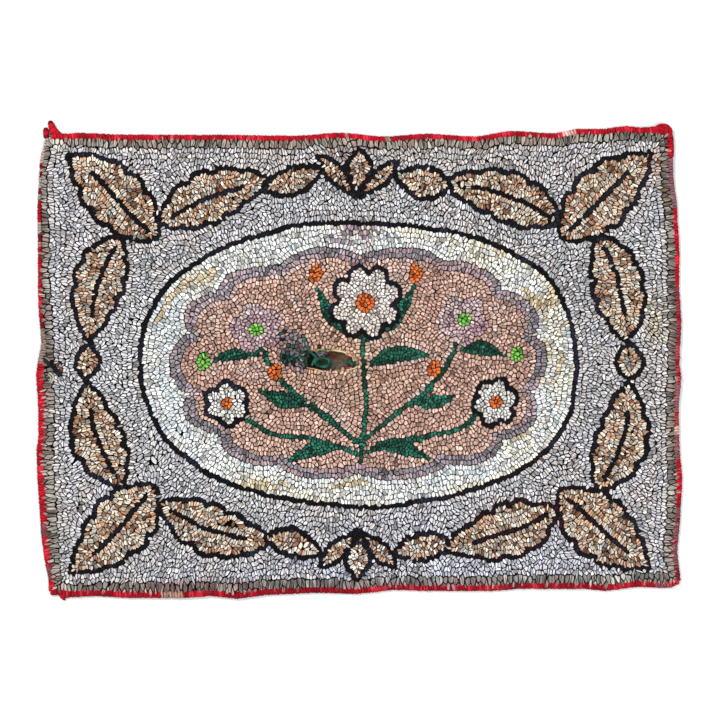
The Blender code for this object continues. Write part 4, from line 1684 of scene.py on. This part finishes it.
def edging_stations(context):
    """Where each whip stitch sits: its run, middle, outward direction, width and height."""
    rim = rim_loops("hooked_pile")[0]
    pitch = context.scene.rug_sizes.stitch_pitch
    line = even(rim, pitch, True)
    ahead = headings(line, True)
    outward = np.column_stack([ahead[:, 1], -ahead[:, 0]]) * np.sign(signed_area(line))
    for _ in range(4):
        outward = outward + 0.5 * (np.roll(outward, 1, axis=0) + np.roll(outward, -1, axis=0))
        outward /= np.linalg.norm(outward, axis=1)[:, None]
    trees = {name: tree_of(name) for name in EDGING_NODES}
    found = []
    for place, out in zip(line, outward):
        x, y = place - out * 0.004
        lift = heights_on(("foundation",), [x], [y], BURLAP_TOP)[0] - BURLAP_TOP
        best = None
        for name, tree in trees.items():
            for z in (0.0032, 0.0048):
                start = Vector((*(place + out * 0.030), lift + z))
                hit = tree.ray_cast(start, Vector((*-out, 0.0)), 0.034)[0]
                if hit is None:
                    continue
                reach = float(np.dot(np.array(hit[:2]) - place, out))
                if best is None or reach > best[1]:
                    best = (name, reach)
        found.append((best[0] if best else None, best[1] if best else np.nan, lift))
    return line, outward, found


class RUG_OT_whip_edging(bpy.types.Operator):
    """Whips the red yarn over the hem, one run to a side"""

    bl_idname = "rug.whip_edging"
    bl_label = "Whip the edging"

    def execute(self, context):
        red = np.array(context.scene.rug_colours.edging[:])
        yarn = streaky_yarn("edging_yarn", 0.90, 0.02, 260.0, 1300.0, 0.45, 3000.0)
        draw = np.random.default_rng(context.scene.rug_sizes.seed + EDGING_SEED)
        line, outward, found = edging_stations(context)
        reach = np.array([f[1] for f in found])
        good = np.isfinite(reach)
        around = np.arange(len(reach))
        reach = np.interp(around, around[good], reach[good])
        steady = np.array([np.median(np.roll(reach, 3 - i)[:7]) for i in around])
        steady = (np.roll(steady, 1) + 2 * steady + np.roll(steady, -1)) / 4
        names = [f[0] for f in found]
        for i in around:
            if names[i] is None:
                names[i] = names[i - 1] or names[(i + 1) % len(names)]
        for run in EDGING_NODES:
            bundle = Bundle()
            own = [i for i in around if names[i] == run]
            if run == "edging_top":
                own = [i for i in own if line[i][0] > HORN_FOOT]
            for i in own:
                wide = float(np.clip(min(reach[i], steady[i] * 1.10), 0.0030, most_wide(run, line[i])))
                stitch(bundle, run, line[i], outward[i], wide, found[i][2], red, draw, context)
            core(bundle, run, own, line, outward, np.minimum(reach, steady * 1.25), found, red, draw)
            wraps(bundle, *LOOSE_ENDS[run], red)
            if run == "edging_top":
                bunch(bundle, red, draw)
            bundle.piece(run.replace("edging_", "whipped_"), "red_yarn", yarn, (run,))
        return {"FINISHED"}


def most_wide(run, place):
    """How wide the whipped edge may be at one place: narrow beside the loose ends."""
    if run == "edging_left" and place[1] > 0.312:
        return 0.0040
    if run == "edging_top" and place[0] < -0.443:
        return 0.0085
    return 0.0150


def faded_with_painted_light(run, place, red, draw):
    """The yarn's colour at one place of a run: its fades, and painted highlight and shade in patches."""
    tone = float(patchy(place[0], place[1], 0.0075, 72)) + draw.normal(0.0, 0.22)
    colour = red * (0.93 + 0.17 * np.clip(tone, -1.0, 1.0)) * (0.85 if run == "edging_bottom" else 1.0)
    # The brightest patches are tinted pink as painted highlights, the darkest are painted shade
    if tone > 0.52:
        colour = colour + (np.array((1.0, 0.45, 0.50)) - colour) * 0.24
    along = place[0] if run in ("edging_top", "edging_bottom") else place[1]
    spot = 0.5 + 0.5 * float(patchy(place[0] * 0.2, along, 0.009, 71))
    for fade in FADES[run]:
        if fade.start <= along <= fade.end:
            inside = min(along - fade.start, fade.end - along) / 0.003
            share = fade.share * float(eased(np.array(inside + 0.6))) * draw.uniform(0.90, 1.1)
            if spot < fade.spots:
                colour, share = colour * 0.82, share * 0.15
            colour = colour + (np.array(fade.colour) * draw.normal(1.0, 0.05) - colour) * min(share, 1.0)
    return colour


# Across a whip stitch, from edge to edge and back below: its width, its thickness and its
# painted shading there: painted shade on its edges and underside, a painted highlight on its top
WHIP_SECTION = (
    (-1.0, -0.1, 0.32),
    (-0.58, 0.75, 0.96),
    (0.0, 1.0, 1.08),
    (0.58, 0.75, 0.96),
    (1.0, -0.1, 0.32),
    (0.0, -0.7, 0.32),
)


# How high a stitch stands on the wide and on the slim edging, half its thickness, the height of
# its middle, and what it covers of the pile past the hem
STITCH_TOPS = (0.0074, 0.0060)
STITCH_THICK = 0.0012
STITCH_MIDDLE = 0.0032
STITCH_COVER = 0.0008


def stitch(bundle, run, place, out, wide, lift, red, draw, context):
    """One whip stitch: a fat strand that goes round the hem at a slant."""
    pitch = context.scene.rug_sizes.stitch_pitch
    high = STITCH_TOPS[0] if wide > 0.0055 else STITCH_TOPS[1]
    ahead = np.array([-out[1], out[0]])
    thick = STITCH_THICK
    inset = float(hem_inset(*place))
    cover = inset + STITCH_COVER if wide > 0.0042 else max(inset - 0.0012, 0.0004)
    half = max((wide + cover) / 2 - thick * 0.4, 0.0012)
    middle = place + out * ((wide - cover) / 2 - 0.0001)
    slant = draw.normal(0.14, 0.16) * pitch
    path = []
    for t in np.linspace(-0.26, 1.26, 9) * math.pi:
        across = -math.cos(t)
        across = math.copysign(abs(across) ** 0.8, across)
        rise = max(math.sin(t), -0.5)
        flat = middle + out * across * half + ahead * slant * across
        path.append((*flat, lift + STITCH_MIDDLE + rise * (high - STITCH_MIDDLE - thick)))
    jitter = draw.normal(0.0, 0.00016, 2)
    path = np.array(path) + (*jitter, 0.0)
    along = np.array([*ahead, draw.normal(0.0, 0.10)])
    made = whip_tube(path, along, pitch * draw.normal(0.60, 0.06), thick * draw.normal(1.0, 0.10))
    t = np.linspace(0.0, 1.0, len(path))
    # Painted shade at both ends of the stitch, where it goes into the hem and where it turns over the outer
    # edge
    painted_end_shade = (0.40 + 0.60 * eased((t - 0.14) / 0.24)) * (1.0 - 0.35 * eased((t - 0.62) / 0.30))
    tone = painted_end_shade[:, None] * np.array([clean for _, _, clean in WHIP_SECTION])
    bundle.add(made, faded_with_painted_light(run, place, red, draw) * tone.reshape(-1, 1))


def whip_tube(path, along, half_wide, thick):
    """A flat closed strand whose width lies along a given direction."""
    p = np.asarray(path, float)
    ahead = np.gradient(p, axis=0)
    ahead /= np.linalg.norm(ahead, axis=1)[:, None]
    side = along - ahead * (ahead @ along)[:, None]
    side /= np.linalg.norm(side, axis=1)[:, None]
    over = np.cross(ahead, side)
    points, strands = [], []
    run = np.concatenate([[0.0], np.cumsum(np.linalg.norm(np.diff(p, axis=0), axis=1))])
    for i in range(len(p)):
        for a, b, _ in WHIP_SECTION:
            points.append(p[i] + side[i] * a * half_wide + over[i] * b * thick)
            strands.append((run[i], a * half_wide, p[0, 0] * 40))
    quads, tris = tube_faces(len(p), len(WHIP_SECTION))
    return np.array(points), quads, tris, np.array(strands)


def core(bundle, run, own, line, outward, reach, found, red, draw):
    """The rolled hem under the stitches, which closes the gaps between them."""
    breaks = [k for k in range(1, len(own)) if own[k] != own[k - 1] + 1]
    order = own[breaks[-1]:] + own[: breaks[-1]] if breaks else own
    path, across, tone = [], [], []
    for i in order:
        wide = max(min(reach[i], most_wide(run, line[i])), 0.003)
        path.append((*(line[i] + outward[i] * wide / 2), found[i][2] + 0.0033))
        across.append(max(wide / 2 - 0.0005, 0.0008))
        # The hem is darkened as painted shade between the stitches
        tone.append(faded_with_painted_light(run, line[i], red, draw) * 0.62)
    bundle.add(tube(path, across, 0.0024, 6), np.repeat(tone, 6, axis=0))


def wraps(bundle, rows, tints, red):
    """A loose end of the edging, fat with the yarn wound round it, turn by turn in its tints."""
    turns = len(tints)
    chain = smooth_chain(rows, 9)
    t = np.linspace(0.0, 1.0, len(chain))
    swell = 0.90 + 0.10 * np.abs(np.sin(math.pi * turns * t)) ** 0.6
    high = chain[:, 3] * swell
    path = np.column_stack([chain[:, :2], chain[:, 3] + 0.0003])
    made = tube(path, chain[:, 2] / 2 * swell, high, 10, 0.0, 0.02, 40)
    which = np.minimum((t * turns).astype(int), turns - 1)
    # Painted shade in the grooves between the turns; round the strand, painted shade below and a painted
    # highlight on top
    tones = np.array(tints)[which] * (0.55 + 0.45 * eased((swell - 0.90) / 0.06))
    around = 0.62 + 0.42 * np.clip(np.sin(np.arange(10) * math.pi / 5), 0.0, 1.0)
    bundle.add(made, red * (tones[:, None] * around).reshape(-1, 1))


def bunch(bundle, red, draw):
    """The yarn bunched up over the top right corner, strand beside strand."""
    for number, reach in enumerate(BUNCH_REACH):
        angle = np.radians(np.linspace(196.0, -34.0, 15) + draw.normal(0.0, 12.0))
        high = 0.0098 - 0.0006 * number - 0.0022 * (np.linspace(-1.0, 1.0, 15)) ** 4
        path = np.column_stack(
            [
                BUNCH_MIDDLE[0] + 1.12 * reach * np.cos(angle),
                BUNCH_MIDDLE[1] + reach * np.sin(angle),
                high,
            ]
        )
        # Round each strand, painted shade below and a painted highlight on top
        tone = np.tile(0.30 + 0.74 * np.clip(np.sin(np.arange(8) * math.pi / 4), 0.0, 1.0), len(path))
        tone *= np.repeat(0.96 + 0.16 * np.sin(np.arange(len(path)) * (1.1 + 0.2 * number) + number), 8)
        bundle.add(tube(path, 0.0017, 0.0017, 8, 0.0, 0.08, 5 + number), red * tone[:, None])


# ---------------------------------------------------------------- the tear and loose strips


GREEN = (0.12, 0.36, 0.29)
LILAC = (0.47, 0.43, 0.48)
MAUVE_GREY = (0.42, 0.38, 0.41)
PINK = (0.86, 0.62, 0.52)
THREAD = (0.80, 0.64, 0.44)
PALE_THREAD = (0.90, 0.82, 0.66)

Strand = namedtuple("Strand", "colour wide thick path")

# Burlap threads along the lips of the tear: x, y and height over the floor
LIP_THREADS = (
    Strand(THREAD, 0.0008, 0.0008, ((-0.0787, 0.0206, 0.0085), (-0.0701, 0.0163, 0.0080),
        (-0.0563, 0.0160, 0.0074), (-0.0426, 0.0155, 0.0076), (-0.0340, 0.0150, 0.0070))),
    Strand(THREAD, 0.0007, 0.0007, ((-0.0770, 0.0180, 0.0064), (-0.0690, 0.0146, 0.0060),
        (-0.0560, 0.0142, 0.0056), (-0.0440, 0.0138, 0.0058))),
    Strand(PALE_THREAD, 0.0014, 0.0010, ((-0.0380, 0.0158, 0.0076), (-0.0330, 0.0146, 0.0082),
        (-0.0288, 0.0138, 0.0084), (-0.0244, 0.0134, 0.0080), (-0.0200, 0.0108, 0.0070))),
    Strand(THREAD, 0.0009, 0.0008, ((-0.0790, -0.0108, 0.0064), (-0.0667, -0.0128, 0.0068),
        (-0.0600, -0.0150, 0.0072), (-0.0510, -0.0166, 0.0070))),
    Strand(PALE_THREAD, 0.0009, 0.0008, ((-0.0640, -0.0134, 0.0064), (-0.0570, -0.0158, 0.0074),
        (-0.0500, -0.0160, 0.0066))),
    Strand(PALE_THREAD, 0.0011, 0.0009, ((-0.0190, -0.0144, 0.0066), (-0.0130, -0.0130, 0.0078),
        (-0.0081, -0.0122, 0.0082), (-0.0030, -0.0090, 0.0078))),
    Strand(THREAD, 0.0009, 0.0009, ((-0.0100, 0.0104, 0.0074), (-0.0060, 0.0050, 0.0080),
        (-0.0034, -0.0010, 0.0076), (-0.0042, -0.0095, 0.0070))),
    Strand(PALE_THREAD, 0.0008, 0.0008, ((-0.0130, 0.0084, 0.0066), (-0.0100, 0.0040, 0.0070),
        (-0.0084, -0.0010, 0.0064))),
)

# Strips of cloth pulled loose round the tear
LOOSE_STRIPS = (
    Strand(GREEN, 0.0019, 0.0011, ((-0.0806, 0.0216, 0.0086), (-0.0762, 0.0172, 0.0092),
        (-0.0716, 0.0116, 0.0090), (-0.0660, 0.0072, 0.0080), (-0.0644, 0.0036, 0.0072))),
    Strand(GREEN, 0.0016, 0.0010, ((-0.0656, 0.0040, 0.0074), (-0.0672, 0.0010, 0.0076),
        (-0.0696, -0.0036, 0.0070), (-0.0712, -0.0072, 0.0062))),
    Strand(LILAC, 0.0008, 0.0007, ((-0.0665, 0.0146, 0.0066), (-0.0630, 0.0118, 0.0072),
        (-0.0592, 0.0110, 0.0070), (-0.0548, 0.0122, 0.0072), (-0.0500, 0.0118, 0.0062))),
    Strand(LILAC, 0.0009, 0.0007, ((-0.0640, 0.0120, 0.0060), (-0.0610, 0.0080, 0.0066),
        (-0.0570, 0.0090, 0.0066), (-0.0530, 0.0104, 0.0062), (-0.0484, 0.0096, 0.0056))),
    Strand(MAUVE_GREY, 0.0009, 0.0008, ((-0.0628, 0.0096, 0.0056), (-0.0590, 0.0062, 0.0062),
        (-0.0546, 0.0076, 0.0060), (-0.0516, 0.0058, 0.0056))),
    Strand(MAUVE_GREY, 0.0013, 0.0010, ((-0.0950, 0.0010, 0.0094), (-0.0912, -0.0026, 0.0104),
        (-0.0862, -0.0044, 0.0104), (-0.0826, -0.0090, 0.0098))),
    Strand(LILAC, 0.0011, 0.0010, ((-0.0930, -0.0050, 0.0094), (-0.0892, -0.0074, 0.0104),
        (-0.0856, -0.0112, 0.0100), (-0.0880, -0.0152, 0.0094))),
    Strand(PINK, 0.0024, 0.0014, ((-0.0196, 0.0096, 0.0074), (-0.0150, 0.0084, 0.0090),
        (-0.0104, 0.0070, 0.0084))),
    Strand(GREEN, 0.0020, 0.0013, ((-0.0206, -0.0006, 0.0060), (-0.0184, -0.0034, 0.0072),
        (-0.0164, -0.0018, 0.0070))),
    Strand(GREEN, 0.0019, 0.0012, ((-0.0150, -0.0004, 0.0066), (-0.0126, -0.0040, 0.0078),
        (-0.0100, -0.0066, 0.0072))),
    Strand(GREEN, 0.0017, 0.0011, ((-0.0096, -0.0030, 0.0070), (-0.0062, -0.0044, 0.0080),
        (-0.0034, -0.0070, 0.0074))),
    Strand((0.42, 0.20, 0.16), 0.0016, 0.0010, ((-0.0240, -0.0100, 0.0052), (-0.0180, -0.0110, 0.0062),
        (-0.0130, -0.0104, 0.0062))),
)

# The middle of the tear, the spacing of the frayed ends round it, and the middle and the reach
# of the strip that lies in a ring in it
TEAR_MIDDLE = (-0.0400, 0.0)
END_PITCH = 0.0034
RING_MIDDLE = (-0.0555, -0.0026)
RING_REACH = (0.0108, 0.0070)

# The knot of short curled ends at the left end of the tear: its middle, its reach, how many
# ends, and their colours
TANGLE_MIDDLE = (-0.0885, 0.0060)
TANGLE_REACH = (0.0080, 0.0125)
TANGLE_ENDS = 20
TANGLE_COLOURS = (LILAC, MAUVE_GREY, (0.30, 0.26, 0.30), (0.24, 0.21, 0.24), (0.70, 0.64, 0.64), GREEN)


def rounded(path, sides):
    """Painted shading round a strip: painted shade on its sides and underside, a painted highlight on its
    top.
    """
    lit = np.clip(np.sin(np.arange(sides) * 2 * math.pi / sides), 0.0, 1.0)
    return np.tile(0.60 + 0.48 * lit, len(path))[:, None]


def tangle(bundle, draw):
    """Short curled ends of strips, one over the other."""
    for number in range(TANGLE_ENDS):
        middle = np.array(TANGLE_MIDDLE) + np.array(TANGLE_REACH) * draw.uniform(-1.0, 1.0, 2)
        bend = draw.uniform(0.0013, 0.0026)
        t = draw.uniform(0.0, 2 * math.pi) + np.linspace(0.0, draw.uniform(1.8, 4.4), 9)
        high = draw.uniform(0.0086, 0.0098) + 0.0008 * np.sin(np.linspace(0.0, math.pi, 9))
        path = np.column_stack([middle[0] + bend * np.cos(t), middle[1] + 0.9 * bend * np.sin(t), high])
        colour = np.array(TANGLE_COLOURS[draw.integers(len(TANGLE_COLOURS))]) * draw.normal(1.0, 0.08)
        made = tube(path, draw.uniform(0.0007, 0.0012), 0.0008, 6, 0.0, 0.08, 940 + number)
        bundle.add(made, colour * rounded(path, 6))


# What fills the tear, from its dark left end to its right end: the burlap's own brown in part, and
# painted shade in part, black at the left end and grey-beige at the lower lip as the floor in shade
# seen through the hole. x, and its colours as it looks at the upper lip and at the lower
Rag = namedtuple("Rag", "x upper lower")

RAG_AND_HOLE_SHADE = (
    Rag(-0.0820, (0.09, 0.06, 0.06), (0.07, 0.05, 0.05)),
    Rag(-0.0680, (0.12, 0.08, 0.07), (0.10, 0.07, 0.06)),
    Rag(-0.0560, (0.20, 0.12, 0.08), (0.18, 0.12, 0.09)),
    Rag(-0.0430, (0.34, 0.20, 0.13), (0.34, 0.30, 0.28)),
    Rag(-0.0360, (0.34, 0.20, 0.13), (0.37, 0.34, 0.33)),
    Rag(-0.0280, (0.40, 0.29, 0.20), (0.44, 0.37, 0.31)),
    Rag(-0.0210, (0.42, 0.32, 0.23), (0.45, 0.38, 0.30)),
    Rag(-0.0130, (0.38, 0.30, 0.22), (0.34, 0.27, 0.20)),
    Rag(-0.0010, (0.36, 0.28, 0.21), (0.32, 0.25, 0.19)),
)


def remnant_and_hole_shade(draw):
    """A thin sheet in the tear, and its colours: the worn burlap's brown in part, painted shade of the hole
    in part.
    """
    step = 0.0009
    hole = rim_loops("foundation")[1]
    middle = hole.mean(0)
    wider = middle + (hole - middle) * 1.05
    x = np.arange(wider[:, 0].min(), wider[:, 0].max(), step)
    y = np.arange(wider[:, 1].min(), wider[:, 1].max(), step)
    grid_x, grid_y = np.meshgrid(x, y)
    places = [rag.x for rag in RAG_AND_HOLE_SHADE]
    points = np.column_stack([grid_x.ravel(), grid_y.ravel()])
    kept = in_loop(points, wider).reshape(grid_x.shape)
    whole = kept[:-1, :-1] & kept[1:, :-1] & kept[:-1, 1:] & kept[1:, 1:]
    index = np.arange(grid_x.size).reshape(grid_x.shape)
    corners = (index[:-1, :-1], index[:-1, 1:], index[1:, 1:], index[1:, :-1])
    quads = np.column_stack([corner[whole] for corner in corners])
    used, quads = np.unique(quads, return_inverse=True)
    quads = quads.reshape(-1, 4)
    px, py = points[used].T
    z = 0.0010 + 0.0007 * patchy(px, py, 0.004, 83) + 0.0003 * patchy(px, py, 0.0013, 84)
    drop = eased((0.0060 - py + 0.0040 * patchy(px, py, 0.0060, 81)) / 0.0090)[:, None]
    upper, lower = (
        np.column_stack([np.interp(px, places, tones) for tones in zip(*(rag[end] for rag in RAG_AND_HOLE_SHADE))])
        for end in (1, 2)
    )
    colour = upper + (lower - upper) * drop
    colour = colour * (0.85 + 0.14 * patchy(px, py, 0.0022, 82) + draw.normal(0.0, 0.06, len(px)))[:, None]
    top = np.column_stack([px, py, np.maximum(z, 0.0004)])
    made = (top, quads, np.zeros((0, 3), int), np.column_stack([px, py, 0 * px]))
    return made, colour


def lip_threads(bundle, draw):
    """The burlap's threads along the lips of the tear."""
    for number, (colour, wide, thick, rows) in enumerate(LIP_THREADS):
        chain = smooth_chain(rows, 8)
        chain += draw.normal(0.0, 0.00022, chain.shape)
        swell = draw.normal(1.0, 0.10, len(chain))
        made = tube(chain, wide * swell, thick * swell, 6, 3.0, 0.10, 600 + number)
        bundle.add(made, np.array(colour) * draw.normal(1.0, 0.06))


def frayed_ends(bundle, draw):
    """Short ends of thread all round the tear, dark toward its left end."""
    hole = even(rim_loops("foundation")[1], END_PITCH, True)
    inward = np.array(TEAR_MIDDLE) - hole
    inward /= np.linalg.norm(inward, axis=1)[:, None]
    for number, (place, way) in enumerate(zip(hole, inward)):
        long = draw.uniform(0.001, 0.005)
        sway = draw.normal(0.0, 0.0012, 2)
        rows = (
            (*(place - way * 0.003), 0.0040),
            (*place, 0.0034),
            (*(place + way * long * 0.6 + sway * 0.5), 0.0030),
            (*(place + way * long + sway), 0.0022),
        )
        # Ends past the tear's left end are darkened as painted shade
        dim = np.array(THREAD) * draw.uniform(0.35, 0.85) * (0.30 if place[0] < -0.070 else 1.0)
        bundle.add(tube(smooth_chain(rows, 3), 0.00035, 0.00035, 4, 2.0, 0.1, 700 + number), dim)


def loose_strips(bundle, draw):
    """The strips pulled loose round the tear."""
    for number, (colour, wide, thick, rows) in enumerate(LOOSE_STRIPS):
        chain = smooth_chain(rows, 7)
        swell = 1.0 + 0.16 * np.sin(np.arange(len(chain)) * 1.1 + number)
        made = tube(chain, wide * swell, thick, 8, 0.0, 0.08, 800 + number)
        bundle.add(made, np.array(colour) * draw.normal(1.0, 0.06) * rounded(chain, 8))


def curled_ring(bundle, draw):
    """The strip that lies in a ring inside the tear, and the end curled within it."""
    t = np.linspace(0.0, 2 * math.pi * 1.04, 34)
    ring = np.column_stack(
        [
            RING_MIDDLE[0] + RING_REACH[0] * np.cos(t + 2.4) * (1 + 0.05 * np.sin(3 * t)),
            RING_MIDDLE[1] + RING_REACH[1] * np.sin(t + 2.4) * (1 + 0.07 * np.sin(2 * t + 1)),
            0.0056 + 0.0010 * np.sin(2 * t),
        ]
    )
    swell = 0.0023 * (1 + 0.22 * np.sin(2 * t + 1.2) + 0.12 * np.sin(5 * t))
    shade = np.repeat(0.95 + 0.22 * np.sin(3 * t + 0.5) + draw.normal(0.0, 0.06, len(t)), 8)[:, None]
    bundle.add(tube(ring, swell, 0.0016, 8, 0.0, 0.12, 900), np.array(GREEN) * rounded(ring, 8) * shade)
    inner = (ring - (*RING_MIDDLE, 0.0)) * (0.64, 0.60, 0.72) + (*RING_MIDDLE, 0.0)
    bundle.add(tube(inner, 0.0014, 0.0010, 6, 0.0, 0.10, 901), np.array(GREEN) * 0.55)


class RUG_OT_fray_tear(bpy.types.Operator):
    """Frays the tear and lays its loose strips"""

    bl_idname = "rug.fray_tear"
    bl_label = "Fray the tear"

    def execute(self, context):
        draw = np.random.default_rng(context.scene.rug_sizes.seed + TEAR_SEED)
        thread = streaky_yarn("burlap_thread", 0.95, 0.15, 400.0, 3000.0, 0.35, 3600.0)
        strip = streaky_yarn("loose_strip", 0.92, 0.08, 220.0, 760.0, 0.72, 2600.0)
        threads = Bundle()
        lip_threads(threads, draw)
        frayed_ends(threads, draw)
        threads.add(*remnant_and_hole_shade(draw))
        threads.piece("tear_threads", "burlap", thread)

        strips = Bundle()
        loose_strips(strips, draw)
        tangle(strips, draw)
        curled_ring(strips, draw)
        strips.piece("tear_strips", "wool_pile", strip)
        return {"FINISHED"}


# The stray strips over the border at the left
STRAY_STRIPS = (
    Strand((0.12, 0.14, 0.15), 0.0016, 0.0011, ((-0.4752, 0.0040, 0.0078), (-0.4712, 0.0012, 0.0096),
        (-0.4672, -0.0026, 0.0098), (-0.4640, -0.0064, 0.0090))),
    Strand((0.08, 0.08, 0.14), 0.0013, 0.0010, ((-0.4650, -0.0064, 0.0088), (-0.4608, -0.0104, 0.0098),
        (-0.4566, -0.0150, 0.0098), (-0.4530, -0.0192, 0.0088))),
    Strand((0.52, 0.46, 0.44), 0.0012, 0.0009, ((-0.4706, 0.0050, 0.0086), (-0.4670, 0.0022, 0.0096),
        (-0.4640, -0.0008, 0.0092))),
    Strand((0.48, 0.28, 0.22), 0.0018, 0.0011, ((-0.4520, -0.0092, 0.0092), (-0.4482, -0.0112, 0.0098),
        (-0.4450, -0.0146, 0.0092))),
    Strand((0.74, 0.73, 0.66), 0.0013, 0.0010, ((-0.4650, -0.0182, 0.0086), (-0.4604, -0.0212, 0.0098),
        (-0.4584, -0.0266, 0.0098), (-0.4616, -0.0330, 0.0088))),
    Strand((0.66, 0.65, 0.58), 0.0013, 0.0010, ((-0.4664, -0.0214, 0.0086), (-0.4632, -0.0236, 0.0096),
        (-0.4618, -0.0276, 0.0096), (-0.4642, -0.0322, 0.0088))),
)


class RUG_OT_lay_stray_strips(bpy.types.Operator):
    """Lays the stray dark strip over the border at the left"""

    bl_idname = "rug.lay_stray_strips"
    bl_label = "Lay the stray strip"

    def execute(self, context):
        draw = np.random.default_rng(context.scene.rug_sizes.seed + STRAY_SEED)
        strip = streaky_yarn("stray_strip", 0.92, 0.15, 120.0, 1600.0, 0.35, 2600.0)
        bundle = Bundle()
        for number, (colour, wide, thick, rows) in enumerate(STRAY_STRIPS):
            chain = smooth_chain(rows, 7)
            spread = wide * (1.0 + 0.15 * np.sin(np.arange(len(chain)) * 1.3))
            made = tube(chain, spread, thick, 8, 0.0, 0.07, 950 + number)
            bundle.add(made, np.array(colour) * draw.normal(1.0, 0.05) * rounded(chain, 8))
        bundle.piece("stray_strips", "wool_pile", strip)
        return {"FINISHED"}


# ---------------------------------------------------------------- the stage


# The floor's reach and how far it lies below the rug, and the camera's lens, sensor and place
FLOOR_REACH = 6.0
FLOOR_LEVEL = -0.0002
LENS = 80.0
SENSOR = 36.0
EYE = (0.0012, 0.0008)


# The brightness of the room
ROOM = 0.52


def soft_light(name, place, size, power):
    """A round soft light that shines at the middle of the rug."""
    light = bpy.data.lights.new(name, "AREA")
    light.shape = "DISK"
    light.size = size
    light.energy = power
    lamp = bpy.data.objects.new(name, light)
    lamp.location = place
    lamp.rotation_mode = "QUATERNION"
    lamp.rotation_quaternion = (-Vector(place)).to_track_quat("-Z", "Y")
    bpy.context.scene.collection.objects.link(lamp)


class RUG_OT_set_stage(bpy.types.Operator):
    """Sets the floor, the lights and the camera straight above the rug"""

    bl_idname = "rug.set_stage"
    bl_label = "Set the stage"

    def execute(self, context):
        stage = context.scene.rug_stage
        mesh = bpy.data.meshes.new("floor")
        sides = ((-1, -1), (1, -1), (1, 1), (-1, 1))
        corners = [(x * FLOOR_REACH, y * FLOOR_REACH, FLOOR_LEVEL) for x, y in sides]
        mesh.from_pydata(corners, [], [(0, 1, 2, 3)])
        floor = bpy.data.objects.new("floor", mesh)
        context.scene.collection.objects.link(floor)
        material, _, shader = new_material("pale_floor", 0.9, 0.0)
        shader.inputs["Base Color"].default_value = (*linear(stage.floor), 1.0)
        mesh.materials.append(material)

        world = bpy.data.worlds.new("pale_room")
        world.use_nodes = True
        air = world.node_tree.nodes["Background"]
        air.inputs["Color"].default_value = (1.0, 1.0, 1.0, 1.0)
        air.inputs["Strength"].default_value = ROOM
        context.scene.world = world
        soft_light("key", (-1.9, 1.7, 3.3), 1.2, stage.key_power)
        soft_light("fill", (1.0, -0.8, 2.6), 1.8, stage.fill_power)

        camera = bpy.data.cameras.new("camera")
        camera.lens = LENS
        camera.sensor_width = SENSOR
        camera.clip_end = 20.0
        eye = bpy.data.objects.new("camera", camera)
        eye.location = (*EYE, LENS / SENSOR * stage.view_wide)
        context.scene.collection.objects.link(eye)
        context.scene.camera = eye
        context.scene.view_settings.view_transform = "Standard"
        context.scene.view_settings.look = "None"
        return {"FINISHED"}


# ---------------------------------------------------------------- panel and run


class RUG_PT_sidebar(bpy.types.Panel):
    """The steps and settings of the rug, in the 3D view's sidebar"""

    bl_idname = "RUG_PT_sidebar"
    bl_label = "Hooked rug"
    bl_space_type = "VIEW_3D"
    bl_region_type = "UI"
    bl_category = "Rug"

    def draw(self, context):
        for operator in OPERATORS:
            self.layout.operator(operator.bl_idname)
        for group in ("rug_sizes", "rug_colours", "rug_stage"):
            box = self.layout.box()
            settings = getattr(context.scene, group)
            for name in settings.__annotations__:
                box.prop(settings, name)


OPERATORS = (
    RUG_OT_lay_burlap,
    RUG_OT_hook_pile,
    RUG_OT_whip_edging,
    RUG_OT_fray_tear,
    RUG_OT_lay_stray_strips,
    RUG_OT_set_stage,
)
GROUPS = {"rug_sizes": RugSizes, "rug_colours": RugColours, "rug_stage": RugStage}


def register():
    for cls in (*GROUPS.values(), *OPERATORS, RUG_PT_sidebar):
        bpy.utils.register_class(cls)
    for name, group in GROUPS.items():
        setattr(bpy.types.Scene, name, PointerProperty(type=group))


def unregister():
    for name in GROUPS:
        delattr(bpy.types.Scene, name)
    for cls in (RUG_PT_sidebar, *OPERATORS, *GROUPS.values()):
        bpy.utils.unregister_class(cls)


def main():
    register()
    bpy.ops.rug.lay_burlap()
    bpy.ops.rug.hook_pile()
    bpy.ops.rug.whip_edging()
    bpy.ops.rug.fray_tear()
    bpy.ops.rug.lay_stray_strips()
    bpy.ops.rug.set_stage()


if __name__ == "__main__":
    main()
